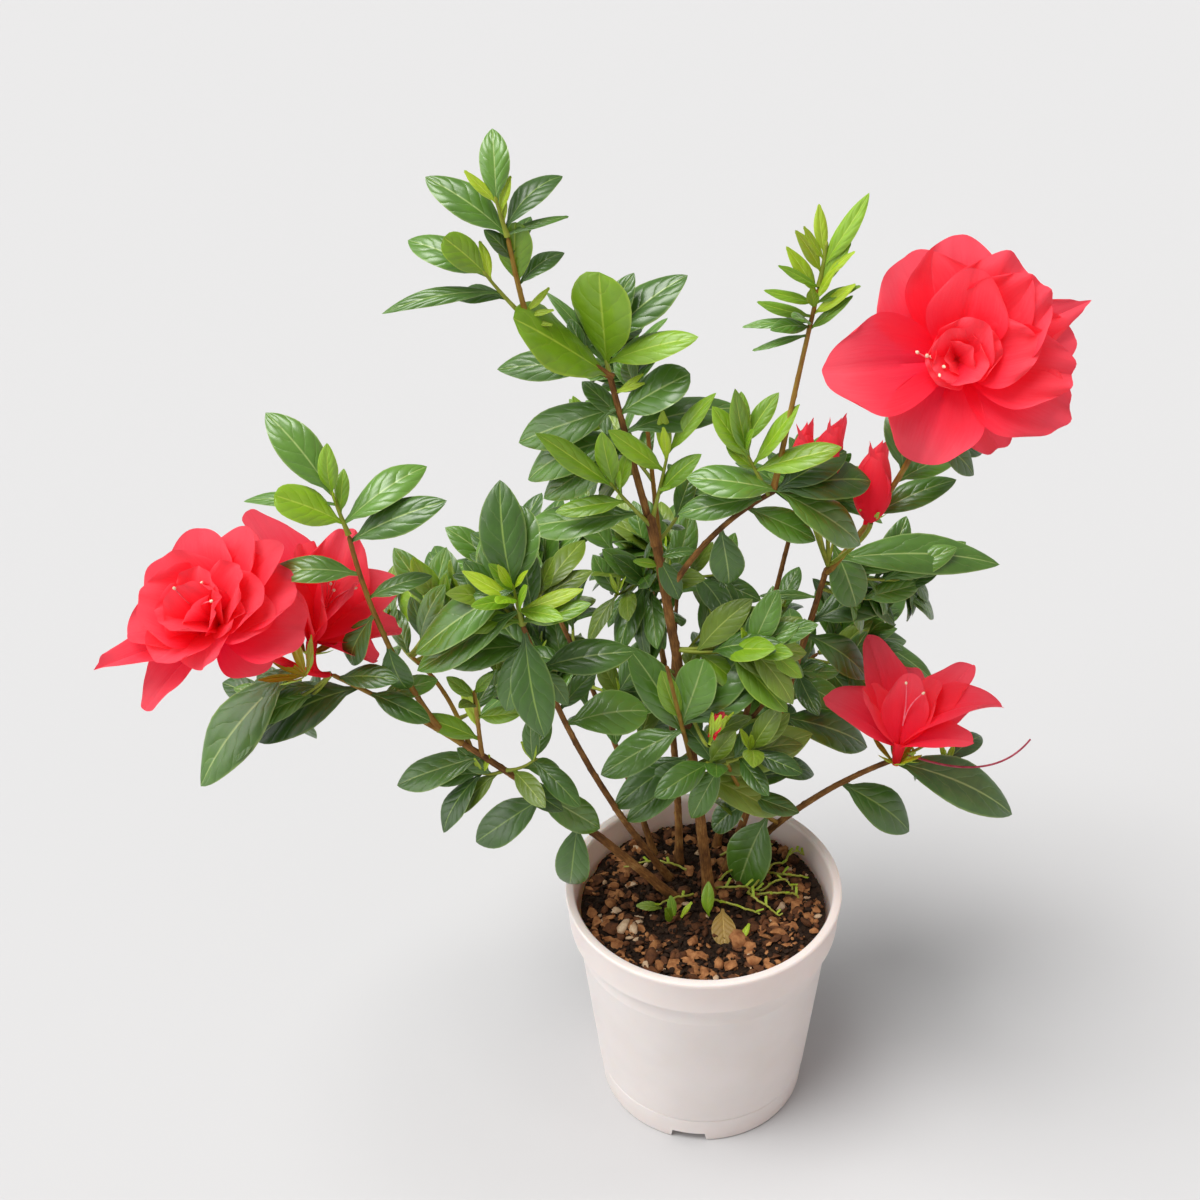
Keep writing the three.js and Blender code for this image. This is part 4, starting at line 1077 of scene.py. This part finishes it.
def chip(heap, x, y, size, lift):
    """Adds one angular chip that lies on the mix, lift mm over it."""
    shape = chip_points * np.array([1, chance.uniform(0.5, 0.9), chance.uniform(0.25, 0.55)])
    shape = shape * chance.uniform(0.7, 1.25, (len(shape), 1))
    turned = Matrix.Rotation(chance.uniform(0, 6.28), 3, "Z")
    turned = turned @ Matrix.Rotation(chance.normal(0, 0.45), 3, "X")
    shape = shape @ np.array(turned).T * size
    level = SOIL_TOP - 1.3 + float(lumps(x, y)) + lift
    add_shape(heap, shape + np.array([x, y, level]), chip_faces, chip_map)


CHIPS = [
    # heap, how many, smallest and largest size in mm
    ("crumb", 1500, 0.7, 1.9), ("brown_chip", 520, 1.1, 3.9), ("tan_chip", 300, 1.0, 4.0),
    ("pale_chip", 70, 0.8, 2.8),
]
LARGE_CHIPS = [
    # heap, place, size in mm
    ("pale_chip", -35, -13, 5.6), ("pale_chip", -31, -15, 4.2), ("tan_chip", 14, -22, 5.6),
    ("tan_chip", 17, -18, 3.6), ("tan_chip", -15, -37, 4.2), ("tan_chip", -2, -41, 3.6),
    ("brown_chip", -24, -31, 5.0), ("tan_chip", 31, -20, 3.8), ("pale_chip", 34, -2, 3.6),
    ("tan_chip", 44, 8, 3.8), ("tan_chip", -34, 24, 4.6), ("tan_chip", 9, -38, 3.4),
]
for heap, count, smallest, largest in CHIPS:
    for _ in range(count):
        radius = (soil_radius - 1.5) * math.sqrt(chance.random())
        around = chance.uniform(0, 2 * math.pi)
        if heap in ("tan_chip", "pale_chip") and radius < 30 and chance.random() < 0.6:
            radius += 22
        size = smallest + (largest - smallest) * chance.random() ** 1.8
        radius = min(radius, soil_radius - size - 0.5)
        chip(heap, radius * math.cos(around), radius * math.sin(around), size, chance.uniform(0, 1.4))
for heap, x, y, size in LARGE_CHIPS:
    chip(heap, x, y, size, 1.2)
print("chips:", {heap: len(heaps[heap]) for heap in heaps if "chip" in heap or heap == "crumb"})

# %% [markdown]
# Thin yellow-green runners creep over the mix on the right, with a few small fresh shoots at the foot
# of the stems and one fallen yellow leaf. A runner is a tube that wanders between named places.

# %% Runners, fresh shoots and a fallen leaf
RUNNERS = [
    # start, bend and end over the mix
    ((2, 8), (20, 4), (26, 6)), ((20, 4), (30, 16), (38, 22)), ((24, 3), (34, 2), (42, 0)),
    ((20, 4), (24, -6), (34, -9)), ((38, 22), (42, 26), (46, 28)), ((8, 12), (16, 20), (30, 20)),
    ((30, 16), (38, 12), (44, 14)), ((-4, 4), (-12, -2), (-20, -2)), ((4, 0), (14, -8), (24, -10)),
    ((26, 6), (36, 10), (40, 6)), ((-6, 20), (-20, 26), (-34, 22)), ((10, 30), (24, 34), (34, 34)),
]
FRESH_LEAVES = [
    # place, azimuth, rise, length and kind of each small leaf at the foot of the stems
    (-14, -10, 250, 60, 14, "B"), (-13, -9, 120, 70, 11, "B"), (2, -8, 100, 72, 16, "B"),
    (-10, -8, 20, 60, 9, "L"), (14, -24, 60, 20, 10, "L"), (-18, -2, 190, 30, 12, "O"),
]
for places in RUNNERS:
    start, middle, end = ((x, y, SOIL_TOP + 1.5 + lumps(x, y)) for x, y in places)
    middle = (middle[0], middle[1], middle[2] + chance.uniform(4, 10))
    path = curve(start, middle, end, 22)
    path[1:-1] += np.cumsum(chance.normal(0, 0.22, (20, 3)), axis=0) * np.array([1, 1, 0.6])
    tube("runner", path, np.linspace(0.55, 0.4, 22), 6)
    for k in (6, 13, 19):
        leaf(path[k], chance.uniform(0, 360), 30, chance.uniform(2.5, 5), "L", np.array([0, 0, 1.0]))
for x, y, azimuth, rise, length, kind in FRESH_LEAVES:
    leaf((x, y, SOIL_TOP - 0.5), azimuth, rise, length, kind)
leaf((8, -8, SOIL_TOP + 4), 265, -18, 17, "R", unit((0, -0.6, 0.8)))
heaps["fallen_leaf"] = [heaps["leaf_grown"].pop()]
print(len(RUNNERS), "runners")

# %% [markdown]
# The small closed bud in the middle of the plant shows its first red between yellow bracts.

# %% The small middle bud
bud_base, bud_axis = np.array([1, -13, 201]), heading(40, 62)
tube("green_wood", curve(paths["main_stem"][34], (0, -4, 190), bud_base, 12), 0.8, 7)
side = unit(np.cross(bud_axis, (0.1, 0.2, 1)))
other = np.cross(bud_axis, side)
for k in range(3):
    turn = math.radians(120 * k + chance.uniform(-12, 12))
    away = math.cos(turn) * side + math.sin(turn) * other
    lean = math.radians(5 + chance.uniform(-6, 6))
    way = math.cos(lean) * bud_axis + math.sin(lean) * away
    face = bud_axis * math.sin(lean) - away * math.cos(lean)
    length, width = 11 * chance.uniform(0.9, 1.1), 5 * chance.uniform(0.9, 1.15)
    petal(bud_base + bud_axis * 3 + away * 1.5, way, face, length, width, 8, 1.4, 0.01)
for k in range(9):
    way = unit(bud_axis + 0.4 * unit(np.cross(bud_axis, heading(40 * k, 10))))
    leaf(bud_base + bud_axis * 0.6 * k, *bearings(way), 13, "L", unit(way - bud_axis * 1.2))
print("bud at", bud_base)

# %% [markdown]
# ## Finishes of the plant
# Bark: brown, slightly cracked and dull, lighter where the outer skin has flaked. Its streaks run along
# the limb, so the noise is stretched along the tube's own map, which is in mm.


# %% Bark and green wood
def own_map(tree):
    """The map of each small shape's own surface: across it, then along it."""
    return node(tree, "ShaderNodeUVMap", {"uv_map": "surface"}).outputs["UV"]


def streaks(tree, scale, detail, roughness):
    """Noise drawn out along the surface's own map."""
    drawn = node(tree, "ShaderNodeMapping", Vector=own_map(tree), Scale=scale).outputs["Vector"]
    noise = node(tree, "ShaderNodeTexNoise", Vector=drawn, Scale=1, Detail=detail, Roughness=roughness)
    return noise.outputs["Fac"]


def wood(name, stops, grain, roughness, strength):
    """A woody skin: noise stretched along the limb, with cracks a fraction of a millimetre wide."""
    made, tree, shader = material(name)
    streak = streaks(tree, (1 / grain, 1 / grain / 7, 1), 6, 0.65)
    both = maths(tree, "MULTIPLY_ADD", mottle(tree, 95, 3), 0.55, maths(tree, "MULTIPLY", streak, 0.5))
    feed(tree, shader, Base_Color=ramp(tree, both, stops), Roughness=roughness, Specular_IOR_Level=0.3)
    relief(tree, shader, streak, strength, 0.35)
    return made


# Old bark: dark cracks between flakes of paler brown.
bark = wood(
    "cracked_brown_bark",
    [(0.3, "#341d0e"), (0.45, "#63401e"), (0.58, "#8a5e2e"), (0.75, "#bb9356")], 0.7, 0.85, 0.9)
# This year's wood: smoother, and reddish where it turns from green to brown.
young_wood = wood(
    "smooth_reddish_young_bark",
    [(0.3, "#5e3612"), (0.45, "#855a1e"), (0.58, "#97762a"), (0.75, "#b39c44")], 0.8, 0.6, 0.4)
# Twigs that are still soft, and the paler runners on the mix.
green_wood = wood("green_twig_skin", [(0.3, "#6b6a1c"), (0.5, "#86902c"), (0.7, "#9fae44")], 0.8, 0.5, 0.25)
runner_skin = wood(
    "yellow_green_runner", [(0.3, "#7d7a2a"), (0.5, "#a3a83e"), (0.7, "#c2c86a")], 0.8, 0.5, 0.25)
print("wood finishes made")

# %% [markdown]
# A leaf is waxy on top. What tells it from green paper is the quilting between its side veins, the
# paler midrib, and the grey sheen where the wax faces the light. The veins are drawn from the leaf's
# own map: the distance across gives the midrib, and the distance along, minus the distance across,
# gives side veins that sweep forward. Six pairs suit a leaf of 40 mm.


# %% Leaf finish
def leaf_skin(name, low, high, vein, roughness, veins=6, strength=0.36, glow=0.06):
    """Waxy leaf: two greens mixed by each leaf's tint, pale veins, and quilting between them."""
    made, tree, shader = material(name)
    place = node(tree, "ShaderNodeSeparateXYZ", Vector=own_map(tree)).outputs
    across = maths(tree, "ABSOLUTE", maths(tree, "SUBTRACT", place["X"], 0.5))
    spots = mottle(tree, 160, 3)
    swept = maths(tree, "MULTIPLY_ADD", across, -0.55, place["Y"])
    strayed = maths(tree, "MULTIPLY_ADD", spots, 2.2, maths(tree, "MULTIPLY", swept, math.pi * veins))
    pillow = maths(tree, "ABSOLUTE", maths(tree, "SINE", strayed))
    # The midrib is palest, the side veins fade towards the edge, and the edge has a thin pale rim.
    rib = remap(tree, across, 0.006, 0.03, 0.8, 0)
    fade = remap(tree, across, 0.1, 0.46, 0.14, 0)
    side_vein = maths(tree, "MULTIPLY", remap(tree, pillow, 0, 0.22, 1, 0), fade)
    rim = remap(tree, across, 0.455, 0.5, 0, 0.55)
    veined = maths(tree, "MAXIMUM", maths(tree, "MAXIMUM", rib, side_vein), rim)
    tint = node(tree, "ShaderNodeAttribute", {"attribute_name": "tint"}).outputs["Fac"]
    mixed = maths(tree, "MULTIPLY_ADD", spots, 0.5, maths(tree, "MULTIPLY", tint, 0.55))
    greens = ramp(tree, mixed, [(0.1, low), (0.85, high)])
    colour = node(tree, "ShaderNodeMix", {"data_type": "RGBA"}, i0=veined, i6=greens, i7=linear(vein))
    feed(tree, shader, Base_Color=colour.outputs[2], Roughness=roughness, Specular_IOR_Level=0.7)
    feed(tree, shader, Subsurface_Weight=glow, Subsurface_Scale=1.5 * MM)
    feed(tree, shader, Subsurface_Radius=(0.4, 1.0, 0.15))
    # Between the veins the blade swells, and along the midrib it has a groove.
    groove = remap(tree, across, 0, 0.09, -0.6, 0)
    relief(tree, shader, maths(tree, "ADD", maths(tree, "POWER", pillow, 0.45), groove), strength, 0.7)
    return made


LEAF_SKINS = {
    # Grown leaves make the deep mass, young ones the light tips, and the last has dropped.
    "leaf_grown": leaf_skin("grown_waxy_leaf", "#2f5410", "#628e2e", "#a4bb6c", 0.33),
    # This darker copy of the grown leaf is painted shade, for leaves deep in the crown.
    "leaf_painted_shade": leaf_skin("painted_shade_leaf_green", "#26450c", "#4b7422", "#87a24a", 0.38),
    "leaf_olive": leaf_skin("olive_leaf", "#526a10", "#7f9a26", "#aabb55", 0.42),
    "leaf_young": leaf_skin("young_soft_leaf", "#58820a", "#88b01a", "#b2cb45", 0.42, 6, 0.3, 0.12),
    "leaf_lime": leaf_skin("lime_new_leaf", "#86a008", "#b0cc1c", "#cfe060", 0.5, 5, 0.25, 0.15),
    "fallen_leaf": leaf_skin("yellow_fallen_leaf", "#8a6a24", "#a9883a", "#c9ab62", 0.6, 6, 0.5, 0.0),
}
print(len(LEAF_SKINS), "leaf finishes")

# %% [markdown]
# Azalea petals are thin, matt and full of water: they glow a little, and their coral red goes deeper
# in the throat and paler at the rim. This is partly their own colour, partly painted shade in the
# throat and painted highlight at the rim. The map along the petal gives that change, and fine
# lengthwise veins give the crepe look.

# %% Petal finish
petal_skin, tree, shader = material("coral_red_petal")
from_throat = node(tree, "ShaderNodeSeparateXYZ", Vector=own_map(tree)).outputs["Y"]
crepe = streaks(tree, (34, 3, 1), 5, 0.6)
shift = maths(tree, "MULTIPLY_ADD", crepe, 0.28, from_throat)
# Deeper red at the throat, paler towards the rim: partly the petal's own colour, partly painted shade in
# the throat and painted highlight at the rim.
reds = ramp(tree, shift, [(0.12, "#fc042e"), (0.4, "#ff163e"), (0.75, "#ff364e"), (1.0, "#ff5264")])
crinkle = relief(tree, shader, crepe, 0.35, 0.35)
feed(tree, shader, Base_Color=reds, Roughness=0.62, Specular_IOR_Level=0.3)
feed(tree, shader, Subsurface_Weight=0.2, Subsurface_Radius=(1.0, 0.12, 0.15), Subsurface_Scale=2.5 * MM)
feed(tree, shader, Sheen_Weight=0.28, Sheen_Roughness=0.5, Sheen_Tint=linear("#ffb0b0"))
# Half of the light goes through a petal and lights it from behind.
through = node(tree, "ShaderNodeBsdfTranslucent", Color=reds, Normal=crinkle)
thin = node(tree, "ShaderNodeMixShader", Fac=0.5, i1=shader.outputs[0], i2=through.outputs[0])
feed(tree, tree.nodes["Material Output"], Surface=thin.outputs[0])


def plain_skin(name, low, high, roughness, scale=400, strength=0.3):
    """A small part's finish: two close colours in fine patches, with matching relief."""
    made, tree, shader = material(name)
    patch = mottle(tree, scale, 4, 0.6)
    feed(tree, shader, Base_Color=ramp(tree, patch, [(0.3, low), (0.7, high)]), Roughness=roughness)
    feed(tree, shader, Specular_IOR_Level=0.3)
    relief(tree, shader, patch, strength, 0.4)
    return made


# Pale beads on pink threads are the finest detail in an open throat.
filament_skin = plain_skin("pink_filament", "#f0405a", "#f7808c", 0.5)
anther_skin = plain_skin("pale_anther", "#e8c8a8", "#f3dcc4", 0.7)
pistil_skin = plain_skin("dark_pink_pistil", "#8c2a3c", "#b05060", 0.5)
print("petal finish:", petal_skin.name)

# %% [markdown]
# Damp compost is nearly black and crumbly. Composted bark runs from chocolate to tan, with a few bare,
# pale chips. Four close finishes, each with its own fine patches, give the mixed look.

# %% Potting mix finishes
# Each is dull, with relief as coarse as its grain, so that the mix looks damp and loose.
crumb_skin = plain_skin("damp_dark_compost", "#150d08", "#3a2617", 0.9, 420, 0.9)
brown_skin = plain_skin("composted_brown_bark", "#3a2112", "#74482a", 0.85, 380, 0.7)
tan_skin = plain_skin("tan_bark_chip", "#7c4a28", "#b98252", 0.85, 360, 0.6)
pale_skin = plain_skin("pale_bare_chip", "#b08c6a", "#dcc4a4", 0.85, 360, 0.5)
soil.data.materials.append(crumb_skin)
only(soil)
bpy.ops.object.shade_flat()
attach(soil, "root")
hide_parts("soil")
print("soil finishes made")

# %% [markdown]
# ## Joining the heaps
# Each heap becomes one piece. The pieces say which CAD masses they stand for, so those solids are
# hidden in the render but stay in the physics.

# %% Join and place
FLOWERS = [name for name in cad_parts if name.endswith("bloom") or name == "bloom_buds"]
MASSES = [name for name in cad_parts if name.endswith("_leaves")]
PIECES = [
    # name, heap, finish, slot, and the CAD solids it stands for
    ("bark_wood", "bark", bark, "bark", [name for name in LIMBS if name not in YOUNG_WOOD]),
    ("young_bark", "young_wood", young_wood, "bark", sorted(YOUNG_WOOD)),
    ("green_twigs", "green_wood", green_wood, "young_leaf"),
    ("grown_leaves", "leaf_grown", LEAF_SKINS["leaf_grown"], "leaf", MASSES),
    # The darker leaves below carry painted shade in their colour.
    ("painted_shade_leaves", "leaf_painted_shade", LEAF_SKINS["leaf_painted_shade"], "leaf"),
    ("olive_leaves", "leaf_olive", LEAF_SKINS["leaf_olive"], "leaf"),
    ("young_leaves", "leaf_young", LEAF_SKINS["leaf_young"], "young_leaf"),
    ("lime_leaves", "leaf_lime", LEAF_SKINS["leaf_lime"], "young_leaf"),
    ("yellow_leaf", "fallen_leaf", LEAF_SKINS["fallen_leaf"], "leaf"),
    ("petals", "petal", petal_skin, "petal", FLOWERS),
    ("filaments", "filament", filament_skin, "petal"),
    ("anthers", "anther", anther_skin, "petal"),
    ("long_pistil", "pistil", pistil_skin, "petal"),
    ("runners", "runner", runner_skin, "young_leaf"),
    ("crumbs", "crumb", crumb_skin, "potting_mix"),
    ("brown_chips", "brown_chip", brown_skin, "potting_mix"),
    ("tan_chips", "tan_chip", tan_skin, "potting_mix"),
    ("pale_chips", "pale_chip", pale_skin, "potting_mix"),
]
for piece in PIECES:
    joined(*piece)

# %% [markdown]
# ## Check of size
# For each axis, how far the looks reach past each side of the CAD box is printed.

# %% Size and finish
visual_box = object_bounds()
for side, name in enumerate("xyz"):
    under = (cad_box[0][side] - visual_box[0][side]) / MM
    over = (visual_box[1][side] - cad_box[1][side]) / MM
    print(f"{name}: {under:.1f} mm past the low side, {over:.1f} mm past the high side")
